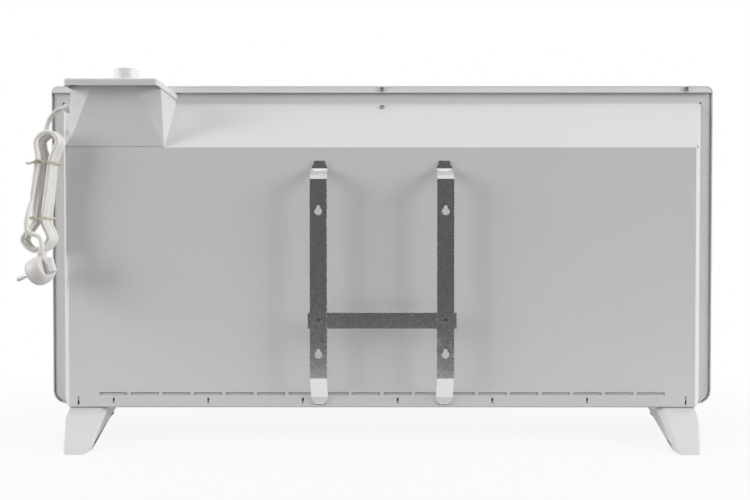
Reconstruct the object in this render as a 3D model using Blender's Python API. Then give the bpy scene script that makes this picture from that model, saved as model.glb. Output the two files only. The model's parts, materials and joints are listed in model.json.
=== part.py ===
"""Panel convector heater with a thermostat box, a wall bracket, two feet and a tied mains lead.

Metres, +Z up. The floor is z = 0, the room side is -Y, the wall side is +Y, the controls are at +X.
"""
import math

import bmesh
import bpy
from mathutils import Matrix, Vector

# Shared clearances
SHEET = 0.0012                 # steel sheet of the casing
GAP = 0.0003                   # between pieces that touch
OVERRUN = 0.004                # how far a cutter passes the face that it cuts
CORNER_STEPS = 4               # facets of a rounded corner
ROUND_SIDES = 20               # facets of a turned piece

# Front panel, a pressed tray
CASE_WIDTH = 0.830
CASE_HEIGHT = 0.3995
CASE_DEPTH = 0.092             # front face to flat back
CASE_AHEAD = 0.003             # middle of the casing ahead of the middle of the feet
CASE_LIFT = 0.0305             # floor to the panel's lower edge
PANEL_RIM = 0.018              # how far the rim returns to the rear
PANEL_CORNER = 0.0085          # upper corners
PANEL_LOW_CORNER = 0.0160
PANEL_BEND = 0.002
RETURN_HEIGHT = 0.0088         # lip that hangs from the upper rim at its rear edge

# Air outlet in the panel
OUTLET_WINDOWS = 3
OUTLET_WIDTH = 0.226
OUTLET_HEIGHT = 0.046
OUTLET_BAR = 0.020             # sheet left between two windows
OUTLET_BELOW_TOP = 0.0315      # panel's upper edge to the window
OUTLET_CORNER = 0.004
GRILLE_MARGIN = 0.006          # how far the grille laps the windows
GRILLE_DEPTH = 0.0065
LOUVRES = 5
LOUVRE_SLOT = 0.0058
LOUVRE_ANGLE = math.radians(32)

# Rear cover, a folded box with a flange all round
SIDE_SPLAY = 0.0308            # how far each side leans in, from the flange to the back
SIDE_FLANGE = 0.0185           # panel's side edge to the foot of the cover's side
LOW_FLANGE = 0.0040            # panel's lower edge to the foot of the underside
FLANGE_SET = 0.0080            # panel's rear edge to the flange in front of it
FLANGE_EDGE = 0.0040           # turned edge of the flange
WALL_CORNER = 0.0020
BACK_CORNER = 0.0030
BACK_RISE = 0.0096             # the back's lower edge above the panel's
KINK_DROP = 0.0855             # panel top to the fold of the back
SLOPE_DROP = 0.0300            # panel top to the upper end of the slope
EDGE_BEND = 0.0015
RELIEF_RADIUS = 0.0013         # round relief where the folds of slope, side and back meet

# Intake slots along the foot of the back
INTAKE_SLOTS = 18
INTAKE_PITCH = 0.0369
INTAKE_LENGTH = 0.0325
INTAKE_HEIGHT = 0.0029
INTAKE_RISE = 0.0162           # above the back's lower edge
TAB_SLOTS = 6                  # slots of the sheet tabs, under the intake
TAB_PITCH = 0.1105
TAB_OFFSET = 0.0370            # the row lies towards the controls
TAB_WIDTH = 0.0022
TAB_HEIGHT = 0.0065
TAB_RISE = 0.0081
END_TAB_INSET = 0.0114         # end tab slots, from the back's side edge
END_TAB_HEIGHT = 0.0095

# Underside intake
UNDER_SLOTS = 14
UNDER_PITCH = 0.040
UNDER_LENGTH = 0.030
UNDER_DEPTH = 0.006
UNDER_ROWS = 2
UNDER_ROW_PITCH = 0.014

# Control housing on the slope
HOUSING_OUTER = 0.0012         # inside the back's side edge
HOUSING_WIDTH = 0.1054
PLATE_UNDER_RETURN = 0.0004    # plate of the controls below the panel's hanging lip
HOUSING_LEAN_SHARE = 0.08      # inner wall: sideways per height
HOUSING_RECESS = 0.009         # how far the upper corners are folded in
HOUSING_FOLD_OUTER = 0.0285    # upper corner to fold, outer side
HOUSING_FOLD_INNER = 0.0280
WIRE_HOLE = 0.020

# Top plate of the controls
PLATE_OVERHANG = 0.0115        # past the back
PLATE_RIM = 0.0080
PLATE_CORNER = 0.0045

# Thermostat and knob
KNOB_RADIUS = 0.0155
KNOB_HEIGHT = 0.0190
KNOB_LIFT = 0.0005
KNOB_EDGE = 0.0012
KNOB_SKIRT = 0.0018
KNOB_FLUTES = 18
KNOB_FLUTE = 0.0011
KNOB_FROM_BACK = 0.031         # axis ahead of the flat back
KNOB_FROM_WALL = 0.0585        # axis inside the housing's outer wall
SHAFT_RADIUS = 0.003
SHAFT_CLEARANCE = 0.0005
SHAFT_BORE_DEPTH = 0.010
THERMOSTAT_SIZE = 0.034
THERMOSTAT_HEIGHT = 0.022
THERMOSTAT_BUSH = 0.0055
THERMOSTAT_EDGE = 0.002


def clear_scene():
    for item in list(bpy.data.objects):
        bpy.data.objects.remove(item, do_unlink=True)


def paint(name, colour, roughness, metallic):
    """A plain Principled material."""
    material = bpy.data.materials.new(name)
    material.use_nodes = True
    shader = material.node_tree.nodes["Principled BSDF"]
    shader.inputs["Base Color"].default_value = (*colour, 1.0)
    shader.inputs["Roughness"].default_value = roughness
    shader.inputs["Metallic"].default_value = metallic
    return material


def place(bm, name, material, smooth=False):
    """Turn a bmesh into a named object of the part."""
    mesh = bpy.data.meshes.new(name)
    bm.to_mesh(mesh)
    bm.free()
    piece = bpy.data.objects.new(name, mesh)
    bpy.context.scene.collection.objects.link(piece)
    piece.data.materials.append(material)
    if smooth:
        mesh.shade_smooth()
        mesh.set_sharp_from_angle(angle=math.radians(35))
    return piece


def close_and_face_out(bm):
    bmesh.ops.recalc_face_normals(bm, faces=bm.faces)


def loop_points(half_width, low, high, radius, y, low_radius=None):
    """A rounded rectangle in the plane of constant y; its lower corners may have their own radius."""
    foot = radius if low_radius is None else low_radius
    corners = ((half_width - radius, high - radius, 0.0, radius),
               (-half_width + radius, high - radius, 90.0, radius),
               (-half_width + foot, low + foot, 180.0, foot),
               (half_width - foot, low + foot, 270.0, foot))
    points = []
    for x, z, start, bend in corners:
        for step in range(CORNER_STEPS + 1):
            turn = math.radians(start + 90.0 * step / CORNER_STEPS)
            points.append(Vector((x + bend * math.cos(turn), y, z + bend * math.sin(turn))))
    return points


def skin(bm, loops, closed=False):
    """Bridge loops of equal length with quads and give back their vertices."""
    rows = [[bm.verts.new(point) for point in loop] for loop in loops]
    pairs = list(zip(rows, rows[1:]))
    if closed:
        pairs.append((rows[-1], rows[0]))
    for first, second in pairs:
        for index, corner in enumerate(first):
            after = (index + 1) % len(first)
            bm.faces.new((corner, first[after], second[after], second[index]))
    return rows


def tray(name, loops, outward, material, thickness=SHEET):
    """A sheet pressed into a tray: loops run from its open edge to its flat face."""
    bm = bmesh.new()
    rows = skin(bm, loops)
    face = bm.faces.new(rows[-1])
    close_and_face_out(bm)
    face.normal_update()
    if face.normal.dot(outward) < 0:
        bmesh.ops.reverse_faces(bm, faces=bm.faces)
    piece = place(bm, name, material, smooth=True)
    wall = piece.modifiers.new("sheet", "SOLIDIFY")
    wall.thickness = thickness
    wall.offset = -1.0
    wall.use_even_offset = True
    return piece


def prism(name, outline, axis, start, end, material, smooth=False):
    """An outline of two coordinates drawn out along x, y or z."""
    bm = bmesh.new()
    rows = []
    for level in (start, end):
        if axis == "x":
            rows.append([bm.verts.new((level, a, b)) for a, b in outline])
        elif axis == "y":
            rows.append([bm.verts.new((a, level, b)) for a, b in outline])
        else:
            rows.append([bm.verts.new((a, b, level)) for a, b in outline])
    count = len(outline)
    for index in range(count):
        after = (index + 1) % count
        bm.faces.new((rows[0][index], rows[0][after], rows[1][after], rows[1][index]))
    bm.faces.new(rows[0])
    bm.faces.new(rows[1])
    close_and_face_out(bm)
    return place(bm, name, material, smooth)


def block(name, low, high, material):
    """A box between two corners."""
    outline = [(low[0], low[1]), (high[0], low[1]), (high[0], high[1]), (low[0], high[1])]
    return prism(name, outline, "z", low[2], high[2], material)


def turned(name, profile, origin, direction, material, sides=ROUND_SIDES):
    """A solid of revolution: profile of (radius, height), closed at the axis, along a direction."""
    bm = bmesh.new()
    rings = []
    for radius, height in profile:
        if radius == 0.0:
            rings.append([bm.verts.new((0.0, 0.0, height))])
            continue
        ring = []
        for side in range(sides):
            turn = math.tau * side / sides
            ring.append(bm.verts.new((radius * math.cos(turn), radius * math.sin(turn), height)))
        rings.append(ring)
    for first, second in zip(rings, rings[1:]):
        for side in range(sides):
            after = (side + 1) % sides
            corners = [first[side % len(first)], first[after % len(first)],
                       second[after % len(second)], second[side % len(second)]]
            bm.faces.new(list(dict.fromkeys(corners)))
    close_and_face_out(bm)
    aim = Vector((0.0, 0.0, 1.0)).rotation_difference(Vector(direction)).to_matrix().to_4x4()
    bmesh.ops.transform(bm, matrix=Matrix.Translation(origin) @ aim, verts=bm.verts)
    return place(bm, name, material, smooth=True)


def strip_outline(path, thickness):
    """The outline of a bent strip: its path and the same path one thickness to the left."""
    inner = []
    for index, point in enumerate(path):
        here = Vector(point)
        sides = []
        if index > 0:
            along = (here - Vector(path[index - 1])).normalized()
            sides.append(Vector((-along.y, along.x)))
        if index < len(path) - 1:
            along = (Vector(path[index + 1]) - here).normalized()
            sides.append(Vector((-along.y, along.x)))
        bisector = sum(sides, Vector((0.0, 0.0))).normalized()
        inner.append(here + bisector * thickness / bisector.dot(sides[0]))
    return [tuple(point) for point in path] + [tuple(point) for point in reversed(inner)]


def cut(piece, cutter):
    """Take one object, or all objects of a joined cutter, out of a piece."""
    cutter.hide_render = True
    cutter.display_type = "WIRE"
    step = piece.modifiers.new("cut", "BOOLEAN")
    step.operation = "DIFFERENCE"
    step.object = cutter


def fuse(piece, other):
    """Join a second solid to a piece."""
    other.hide_render = True
    other.display_type = "WIRE"
    step = piece.modifiers.new("fuse", "BOOLEAN")
    step.operation = "UNION"
    step.object = other


def many_boxes(name, boxes, material):
    """One cutter of many boxes that stay apart."""
    bm = bmesh.new()
    for low, high in boxes:
        size = Vector(high) - Vector(low)
        middle = (Vector(high) + Vector(low)) / 2
        bmesh.ops.create_cube(bm, size=1.0, matrix=Matrix.Translation(middle) @ Matrix.Diagonal((*size, 1.0)))
    return place(bm, name, material)


def smooth_route(points, count):
    """Read points at even steps along a smooth curve through the route's own points."""
    knots = [Vector(point) for point in points]
    dense = []
    for index in range(len(knots) - 1):
        before = knots[max(index - 1, 0)]
        start = knots[index]
        end = knots[index + 1]
        after = knots[min(index + 2, len(knots) - 1)]
        for step in range(16):
            t = step / 16
            dense.append(0.5 * (2 * start + (end - before) * t
                                + (2 * before - 5 * start + 4 * end - after) * t ** 2
                                + (3 * start - before - 3 * end + after) * t ** 3))
    dense.append(knots[-1])
    travelled = [0.0]
    for first, second in zip(dense, dense[1:]):
        travelled.append(travelled[-1] + (second - first).length)
    even = []
    index = 0
    for step in range(count):
        goal = travelled[-1] * step / (count - 1)
        while index < len(dense) - 2 and travelled[index + 1] < goal:
            index += 1
        share = (goal - travelled[index]) / (travelled[index + 1] - travelled[index])
        even.append(dense[index].lerp(dense[index + 1], min(max(share, 0.0), 1.0)))
    return even


def tube(name, points, radius, resolution, material):
    """A cord or wire: a bevelled curve with filled caps."""
    curve = bpy.data.curves.new(name, "CURVE")
    curve.dimensions = "3D"
    curve.bevel_depth = radius
    curve.bevel_resolution = resolution
    curve.use_fill_caps = True
    spline = curve.splines.new("POLY")
    spline.points.add(len(points) - 1)
    for slot, point in zip(spline.points, points):
        slot.co = (*point, 1.0)
    piece = bpy.data.objects.new(name, curve)
    bpy.context.scene.collection.objects.link(piece)
    curve.materials.append(material)
    return piece


# Heights and depths that the pieces share
FRONT_Y = -CASE_DEPTH / 2 - CASE_AHEAD
BACK_Y = FRONT_Y + CASE_DEPTH
PANEL_LOW = CASE_LIFT
PANEL_HIGH = CASE_LIFT + CASE_HEIGHT
RIM_Y = FRONT_Y + PANEL_RIM
FLANGE_Y = RIM_Y - FLANGE_SET
BEND_Y = BACK_Y - EDGE_BEND
BACK_WIDTH = CASE_WIDTH - 2 * SIDE_FLANGE - 2 * SIDE_SPLAY
WALL_HALF = CASE_WIDTH / 2 - SIDE_FLANGE
WALL_LOW = CASE_LIFT + LOW_FLANGE
KINK_Z = PANEL_HIGH - KINK_DROP
SLOPE_Z = PANEL_HIGH - SLOPE_DROP
BACK_Z = PANEL_LOW + BACK_RISE
COVER_HALF = CASE_WIDTH / 2 - SHEET - GAP
COVER_LOW = PANEL_LOW + SHEET + GAP
COVER_HIGH = PANEL_HIGH - SHEET - GAP
RETURN_LOW = PANEL_HIGH - RETURN_HEIGHT
OUTLET_HIGH = PANEL_HIGH - OUTLET_BELOW_TOP
OUTLET_LOW = OUTLET_HIGH - OUTLET_HEIGHT
INNER_FRONT_Y = FRONT_Y + SHEET
INNER_BACK_Y = BACK_Y - SHEET


def floor_z(y):
    """Outer face of the cover's underside at a depth."""
    return WALL_LOW + (BACK_Z - WALL_LOW) * (y - FLANGE_Y) / (BEND_Y - FLANGE_Y)


def slope_z(y):
    """Outer face of the cover's slope at a depth."""
    return KINK_Z + (SLOPE_Z - KINK_Z) * (BEND_Y - y) / (BEND_Y - FLANGE_Y)


def outlet_centres():
    """Middle of each outlet window, side to side."""
    pitch = OUTLET_WIDTH + OUTLET_BAR
    return [pitch * (index - (OUTLET_WINDOWS - 1) / 2) for index in range(OUTLET_WINDOWS)]


def make_front_panel(white):
    half = CASE_WIDTH / 2
    loops = [loop_points(half, PANEL_LOW, PANEL_HIGH, PANEL_CORNER, RIM_Y, PANEL_LOW_CORNER)]
    for step in range(4):
        turn = math.radians(30 * step)
        inset = PANEL_BEND * (1 - math.cos(turn))
        y = FRONT_Y + PANEL_BEND * (1 - math.sin(turn))
        loops.append(loop_points(half - inset, PANEL_LOW + inset, PANEL_HIGH - inset,
                                 PANEL_CORNER - inset, y, PANEL_LOW_CORNER - inset))
    panel = tray("front_panel", loops, Vector((0, -1, 0)), white)
    fuse(panel, make_hanging_lip(white))
    for index, x in enumerate(outlet_centres()):
        outline = [(x + point.x, point.z) for point in
                   loop_points(OUTLET_WIDTH / 2, OUTLET_LOW, OUTLET_HIGH, OUTLET_CORNER, FRONT_Y)]
        cut(panel, prism(f"window_cutter_{index}", outline, "y",
                         FRONT_Y - OVERRUN, INNER_FRONT_Y + OVERRUN, white))
    for name, seat, direction, length in screw_places():
        if name.startswith("lip_screw"):
            cut(panel, screw_hole(f"{name}_panel_cutter", seat, direction, length, white))
    return panel


def make_hanging_lip(white):
    """The strip that is folded down from the upper rim; its ends follow the panel's corners."""
    half = CASE_WIDTH / 2 - SHEET / 2
    upper = [(point.x, point.z) for point in
             loop_points(half, PANEL_LOW, PANEL_HIGH - SHEET / 2, PANEL_CORNER - SHEET / 2, RIM_Y)
             if point.z > RETURN_LOW]
    outline = [(half, RETURN_LOW)] + upper + [(-half, RETURN_LOW)]
    return prism("hanging_lip", outline, "y", RIM_Y - GAP - SHEET, RIM_Y - GAP, white)


def screw_hole(name, seat, direction, length, material):
    start = Vector(seat) - Vector(direction) * (length + OVERRUN)
    return turned(name, rod_profile(SCREW_RADIUS + GAP, length + 2 * OVERRUN), start, direction, material, 12)


def make_outlet_grille(index, x, grey):
    """A thick plate whose slanted slots leave slanted blades between them."""
    low_y = INNER_FRONT_Y + GAP
    half = OUTLET_WIDTH / 2 + GRILLE_MARGIN
    plate = block(f"outlet_grille_{index + 1}", (x - half, low_y, OUTLET_LOW - GRILLE_MARGIN),
                  (x + half, low_y + GRILLE_DEPTH, OUTLET_HIGH + GRILLE_MARGIN), grey)
    pitch = OUTLET_HEIGHT / LOUVRES
    rise = math.tan(LOUVRE_ANGLE)
    middle_y = low_y + GRILLE_DEPTH / 2
    reach = GRILLE_DEPTH / 2 + OVERRUN
    bm = bmesh.new()
    for slot in range(LOUVRES):
        z = OUTLET_LOW + pitch * (slot + 0.5)
        rows = []
        for side in (-OUTLET_WIDTH / 2, OUTLET_WIDTH / 2):
            rows.append([bm.verts.new((x + side, middle_y + way * reach, z - way * reach * rise + edge))
                         for way, edge in ((-1, -LOUVRE_SLOT / 2), (1, -LOUVRE_SLOT / 2),
                                           (1, LOUVRE_SLOT / 2), (-1, LOUVRE_SLOT / 2))])
        for corner in range(4):
            after = (corner + 1) % 4
            bm.faces.new((rows[0][corner], rows[0][after], rows[1][after], rows[1][corner]))
        bm.faces.new(rows[0])
        bm.faces.new(rows[1])
    close_and_face_out(bm)
    cut(plate, place(bm, f"louvre_cutter_{index}", grey))
    return plate


def bracket_tongue_slots():
    """Outline of each slot in the back that a tongue of the wall bracket enters."""
    slots = []
    for x in bracket_sides():
        for z_root, z_tip in ((UPPER_TONGUE_Z, UPPER_TONGUE_Z + TONGUE_LENGTH),
                              (LOWER_TONGUE_Z, LOWER_TONGUE_Z - TONGUE_LENGTH)):
            way = 1 if z_tip > z_root else -1
            wide = BRACKET_WIDTH / 2 - TONGUE_INSET
            narrow = TONGUE_TIP / 2 + TONGUE_MARGIN
            slots.append([(x - wide, z_root), (x + wide, z_root),
                          (x + narrow, z_tip + way * TONGUE_MARGIN),
                          (x - narrow, z_tip + way * TONGUE_MARGIN)])
    return slots


def make_rear_cover(white):
    upper = PANEL_CORNER - SHEET - GAP
    lower = PANEL_LOW_CORNER - SHEET - GAP
    bend = EDGE_BEND
    loops = [loop_points(COVER_HALF, COVER_LOW, COVER_HIGH, upper, FLANGE_Y - FLANGE_EDGE, lower),
             loop_points(COVER_HALF, COVER_LOW, COVER_HIGH, upper, FLANGE_Y - bend, lower),
             loop_points(COVER_HALF - bend, COVER_LOW + bend, COVER_HIGH - bend, upper - bend,
                         FLANGE_Y, lower - bend),
             loop_points(WALL_HALF, WALL_LOW, SLOPE_Z, WALL_CORNER, FLANGE_Y),
             loop_points(BACK_WIDTH / 2, BACK_Z, KINK_Z, BACK_CORNER, BEND_Y),
             loop_points(BACK_WIDTH / 2 - bend, BACK_Z + bend, KINK_Z - bend, BACK_CORNER - bend, BACK_Y)]
    cover = tray("rear_cover", loops, Vector((0, 1, 0)), white)
    near = INNER_BACK_Y - OVERRUN
    far = BACK_Y + OVERRUN
    boxes = []
    for slot in range(INTAKE_SLOTS):
        x = INTAKE_PITCH * (slot - (INTAKE_SLOTS - 1) / 2)
        z = BACK_Z + INTAKE_RISE
        boxes.append(((x - INTAKE_LENGTH / 2, near, z - INTAKE_HEIGHT / 2),
                      (x + INTAKE_LENGTH / 2, far, z + INTAKE_HEIGHT / 2)))
    for slot in range(TAB_SLOTS):
        x = TAB_OFFSET + TAB_PITCH * (slot - (TAB_SLOTS - 1) / 2)
        z = BACK_Z + TAB_RISE
        boxes.append(((x - TAB_WIDTH / 2, near, z - TAB_HEIGHT / 2),
                      (x + TAB_WIDTH / 2, far, z + TAB_HEIGHT / 2)))
    for way in (-1, 1):
        x = way * (BACK_WIDTH / 2 - END_TAB_INSET)
        z = BACK_Z + TAB_RISE
        boxes.append(((x - TAB_WIDTH / 2, near, z - END_TAB_HEIGHT / 2),
                      (x + TAB_WIDTH / 2, far, z + END_TAB_HEIGHT / 2)))
    for row in range(UNDER_ROWS):
        y = UNDER_ROW_PITCH * (row - (UNDER_ROWS - 1) / 2)
        for slot in range(UNDER_SLOTS):
            x = UNDER_PITCH * (slot - (UNDER_SLOTS - 1) / 2)
            boxes.append(((x - UNDER_LENGTH / 2, y - UNDER_DEPTH / 2, floor_z(y) - OVERRUN),
                          (x + UNDER_LENGTH / 2, y + UNDER_DEPTH / 2, floor_z(y) + SHEET + OVERRUN)))
    cut(cover, many_boxes("intake_cutter", boxes, white))
    for index, outline in enumerate(bracket_tongue_slots()):
        cut(cover, prism(f"tongue_cutter_{index}", outline, "y", near, far, white))
    hole = turned("wire_hole_cutter", rod_profile(WIRE_HOLE / 2, HOUSING_TOP_Z - KINK_Z),
                  (KNOB_X, KNOB_Y, KINK_Z), (0, 0, 1), white)
    cut(cover, hole)
    for name, seat, direction, length in screw_places():
        cut(cover, screw_hole(f"{name}_cutter", seat, direction, length, white))
    for side in (1, -1):
        for level, (x, y, z) in enumerate(((BACK_WIDTH / 2, BEND_Y, KINK_Z), (WALL_HALF, FLANGE_Y, SLOPE_Z))):
            relief = turned(f"relief_cutter_{side}_{level}", rod_profile(RELIEF_RADIUS, 2 * OVERRUN),
                            (side * x, y - OVERRUN, z), (0, 1, 0), white, 8)
            cut(cover, relief)
    return cover


def rod_profile(radius, length):
    """A plain cylinder for the turning function."""
    return ((0.0, 0.0), (radius, 0.0), (radius, length), (0.0, length))


HOUSING_X = BACK_WIDTH / 2 - HOUSING_OUTER
HOUSING_INNER_X = HOUSING_X - HOUSING_WIDTH
PLATE_TOP_Z = RETURN_LOW - PLATE_UNDER_RETURN
PLATE_UNDER_Z = PLATE_TOP_Z - SHEET
HOUSING_TOP_Z = PLATE_UNDER_Z - EDGE_BEND
HOUSING_FRONT_Y = FLANGE_Y + GAP
KNOB_X = HOUSING_X - KNOB_FROM_WALL
KNOB_Y = BACK_Y - KNOB_FROM_BACK
KNOB_Z = PLATE_TOP_Z + KNOB_LIFT


def housing_inner_x(z):
    """Inner wall of the housing: it leans out to its foot."""
    return HOUSING_INNER_X - HOUSING_LEAN_SHARE * (HOUSING_TOP_Z - z)


def make_control_housing(white):
    """Folded sheet: a flat back with two triangular facets, two sides and a low front."""
    foot = KINK_Z - OVERRUN
    recessed = BACK_Y - HOUSING_RECESS
    top = [(HOUSING_X, recessed, HOUSING_TOP_Z),
           (HOUSING_X - HOUSING_FOLD_OUTER, BACK_Y, HOUSING_TOP_Z),
           (HOUSING_INNER_X + HOUSING_FOLD_INNER, BACK_Y, HOUSING_TOP_Z),
           (HOUSING_INNER_X, recessed, HOUSING_TOP_Z),
           (HOUSING_INNER_X, HOUSING_FRONT_Y, HOUSING_TOP_Z),
           (HOUSING_X, HOUSING_FRONT_Y, HOUSING_TOP_Z)]
    inner_foot = (housing_inner_x(KINK_Z), BACK_Y, KINK_Z)
    outer_foot = (HOUSING_X, BACK_Y, KINK_Z)
    below = [(HOUSING_X, HOUSING_FRONT_Y, foot), (HOUSING_X, BACK_Y, foot),
             (housing_inner_x(foot), BACK_Y, foot),
             (housing_inner_x(foot), HOUSING_FRONT_Y, foot)]
    bm = bmesh.new()
    t = [bm.verts.new(point) for point in top]
    inner = bm.verts.new(inner_foot)
    outer = bm.verts.new(outer_foot)
    b = [bm.verts.new(point) for point in below]
    bm.faces.new((t[1], t[2], inner, outer))
    bm.faces.new((t[0], t[1], outer))
    bm.faces.new((t[2], t[3], inner))
    bm.faces.new((outer, inner, b[2], b[1]))
    bm.faces.new((t[3], t[4], b[3], b[2], inner))
    bm.faces.new((t[5], t[0], outer, b[1], b[0]))
    bm.faces.new((t[4], t[5], b[0], b[3]))
    close_and_face_out(bm)
    bm.faces.ensure_lookup_table()
    if bm.faces[0].normal.y < 0:
        bmesh.ops.reverse_faces(bm, faces=bm.faces)
    housing = place(bm, "control_housing", white)
    wall = housing.modifiers.new("sheet", "SOLIDIFY")
    wall.thickness = SHEET
    wall.offset = -1.0
    wall.use_even_offset = True
    clear = GAP * math.hypot(1.0, (SLOPE_Z - KINK_Z) / (BEND_Y - FLANGE_Y))
    low = foot - OVERRUN
    outline = [(FLANGE_Y - OVERRUN, low), (BACK_Y + OVERRUN, low),
               (BACK_Y + OVERRUN, slope_z(BACK_Y) + clear), (BEND_Y, slope_z(BEND_Y) + clear),
               (FLANGE_Y - OVERRUN, slope_z(FLANGE_Y - OVERRUN) + clear)]
    cut(housing, prism("slope_cutter", outline, "x", HOUSING_INNER_X - HOUSING_WIDTH,
                       HOUSING_X + OVERRUN, white))
    cut(housing, turned("gland_hole_cutter", rod_profile(GLAND_NECK + GAP, SHEET + 2 * OVERRUN),
                        (HOUSING_X - SHEET - OVERRUN, GLAND_Y, GLAND_Z), (1, 0, 0), white))
    return housing


def make_top_plate(white):
    """A shallow tray upside down: the rim hangs outside the housing's walls."""
    near_y = BACK_Y + PLATE_OVERHANG
    far_y = HOUSING_FRONT_Y
    low_x = housing_inner_x(PLATE_TOP_Z - PLATE_RIM) - SHEET - GAP
    high_x = HOUSING_X + SHEET + GAP
    middle_x = (low_x + high_x) / 2
    half = (high_x - low_x) / 2
    rim = []
    for point in loop_points(half, far_y, near_y, PLATE_CORNER, PLATE_TOP_Z - PLATE_RIM, 2 * EDGE_BEND):
        rim.append(Vector((middle_x + point.x, point.z, point.y)))
    lift = Vector((0, 0, PLATE_RIM - EDGE_BEND))
    upper = [point + lift for point in rim]
    face = []
    for point in loop_points(half - EDGE_BEND, far_y + EDGE_BEND, near_y - EDGE_BEND,
                             PLATE_CORNER - EDGE_BEND, PLATE_TOP_Z, EDGE_BEND):
        face.append(Vector((middle_x + point.x, point.z, point.y)))
    plate = tray("control_top_plate", [rim, upper, face], Vector((0, 0, 1)), white)
    notch_low = (low_x - OVERRUN, far_y - OVERRUN, PLATE_TOP_Z - PLATE_RIM - OVERRUN)
    notch_high = (high_x + OVERRUN, far_y + 2 * SHEET + EDGE_BEND, PLATE_UNDER_Z)
    cut(plate, block("front_notch_cutter", notch_low, notch_high, white))
    cut(plate, turned("shaft_hole_cutter", rod_profile(THERMOSTAT_BUSH + GAP, SHEET + 2 * OVERRUN),
                      (KNOB_X, KNOB_Y, PLATE_UNDER_Z - OVERRUN), (0, 0, 1), white))
    return plate


# Wall bracket, a galvanised H that stands off the back
BRACKET_WIDTH = 0.0195
BRACKET_SPREAD = 0.1450        # between the middles of the uprights
BRACKET_STEEL = 0.0015
BRACKET_STANDOFF = 0.020
BRACKET_WEB_LOW = 0.0467       # web's lower end above the panel's lower edge
BRACKET_WEB = 0.2276
UPPER_LEG_RISE = 0.0135
LOWER_LEG_DROP = 0.0245
TONGUE_LENGTH = 0.0085
TONGUE_INSET = 0.0015
TONGUE_TIP = 0.0110
TONGUE_MARGIN = 0.0008
CROSSBAR_HEIGHT = 0.0185
CROSSBAR_RISE = 0.0660         # crossbar's middle above the web's lower end
CROSSBAR_PAST = 0.0030         # past the uprights' outer edges
KEYHOLE_SPACING = 0.1635
KEYHOLE_RISE = 0.0270          # lower keyhole above the web's lower end
KEYHOLE_RADIUS = 0.0044
KEYHOLE_NECK = 0.0022
KEYHOLE_HEIGHT = 0.0115
RIVET_RADIUS = 0.0020
RIVET_HEAD = 0.0036
RIVET_HEAD_HEIGHT = 0.0014
RIVET_DOME_SHARE = 0.5         # flat top of a domed head, of its radius
RIVET_SEAT = 0.0008            # recess in the upright for the flush head on the wall side
RIVET_SINK = 0.0001

WEB_OUTER_Y = BACK_Y + BRACKET_STANDOFF
WEB_INNER_Y = WEB_OUTER_Y - BRACKET_STEEL
TONGUE_Y = BACK_Y + GAP
WEB_LOW_Z = PANEL_LOW + BRACKET_WEB_LOW
WEB_HIGH_Z = WEB_LOW_Z + BRACKET_WEB
UPPER_TONGUE_Z = WEB_HIGH_Z + UPPER_LEG_RISE
LOWER_TONGUE_Z = WEB_LOW_Z - LOWER_LEG_DROP
CROSSBAR_Z = WEB_LOW_Z + CROSSBAR_RISE
CROSSBAR_FAR_Y = WEB_INNER_Y - GAP


def bracket_sides():
    return (BRACKET_SPREAD / 2, -BRACKET_SPREAD / 2)


def make_bracket_upright(name, x, zinc):
    """A bent strip: tongue, leg, web, leg and tongue, the tongues cut to a trapezoid."""
    path = [(TONGUE_Y + BRACKET_STEEL, UPPER_TONGUE_Z + TONGUE_LENGTH),
            (TONGUE_Y + BRACKET_STEEL, UPPER_TONGUE_Z),
            (WEB_OUTER_Y, WEB_HIGH_Z), (WEB_OUTER_Y, WEB_LOW_Z),
            (TONGUE_Y + BRACKET_STEEL, LOWER_TONGUE_Z),
            (TONGUE_Y + BRACKET_STEEL, LOWER_TONGUE_Z - TONGUE_LENGTH)]
    outline = strip_outline(path, -BRACKET_STEEL)
    half = BRACKET_WIDTH / 2
    upright = prism(name, outline, "x", x - half, x + half, zinc)
    for vertex in upright.data.vertices:
        tip_up = vertex.co.z - UPPER_TONGUE_Z > TONGUE_LENGTH / 2
        tip_down = LOWER_TONGUE_Z - vertex.co.z > TONGUE_LENGTH / 2
        if tip_up or tip_down:
            vertex.co.x = x + math.copysign(TONGUE_TIP / 2, vertex.co.x - x)
    near = WEB_INNER_Y - OVERRUN
    for index in range(2):
        z = WEB_LOW_Z + KEYHOLE_RISE + KEYHOLE_SPACING * index
        outline = []
        opening = math.asin(KEYHOLE_NECK / KEYHOLE_RADIUS)
        for step in range(2 * CORNER_STEPS + 1):
            turn = math.pi / 2 + opening + (math.tau - 2 * opening) * step / (2 * CORNER_STEPS)
            outline.append((x + KEYHOLE_RADIUS * math.cos(turn), z + KEYHOLE_RADIUS * math.sin(turn)))
        top = z + KEYHOLE_HEIGHT - KEYHOLE_RADIUS - KEYHOLE_NECK
        for step in range(CORNER_STEPS + 1):
            turn = math.pi * step / CORNER_STEPS
            outline.append((x + KEYHOLE_NECK * math.cos(turn), top + KEYHOLE_NECK * math.sin(turn)))
        cut(upright, prism(f"{name}_keyhole_cutter_{index}", outline, "y", near,
                           WEB_OUTER_Y + OVERRUN, zinc))
    cut(upright, rivet_hole(f"{name}_rivet_cutter", x, zinc))
    cut(upright, turned(f"{name}_seat_cutter", rod_profile(RIVET_HEAD + GAP, RIVET_SEAT + OVERRUN),
                        (x, WEB_OUTER_Y - RIVET_SEAT, CROSSBAR_Z), (0, 1, 0), zinc))
    return upright


def rivet_hole(name, x, zinc):
    start = CROSSBAR_FAR_Y - BRACKET_STEEL - OVERRUN
    return turned(name, rod_profile(RIVET_RADIUS + GAP, WEB_OUTER_Y + OVERRUN - start),
                  (x, start, CROSSBAR_Z), (0, 1, 0), zinc)


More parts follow.
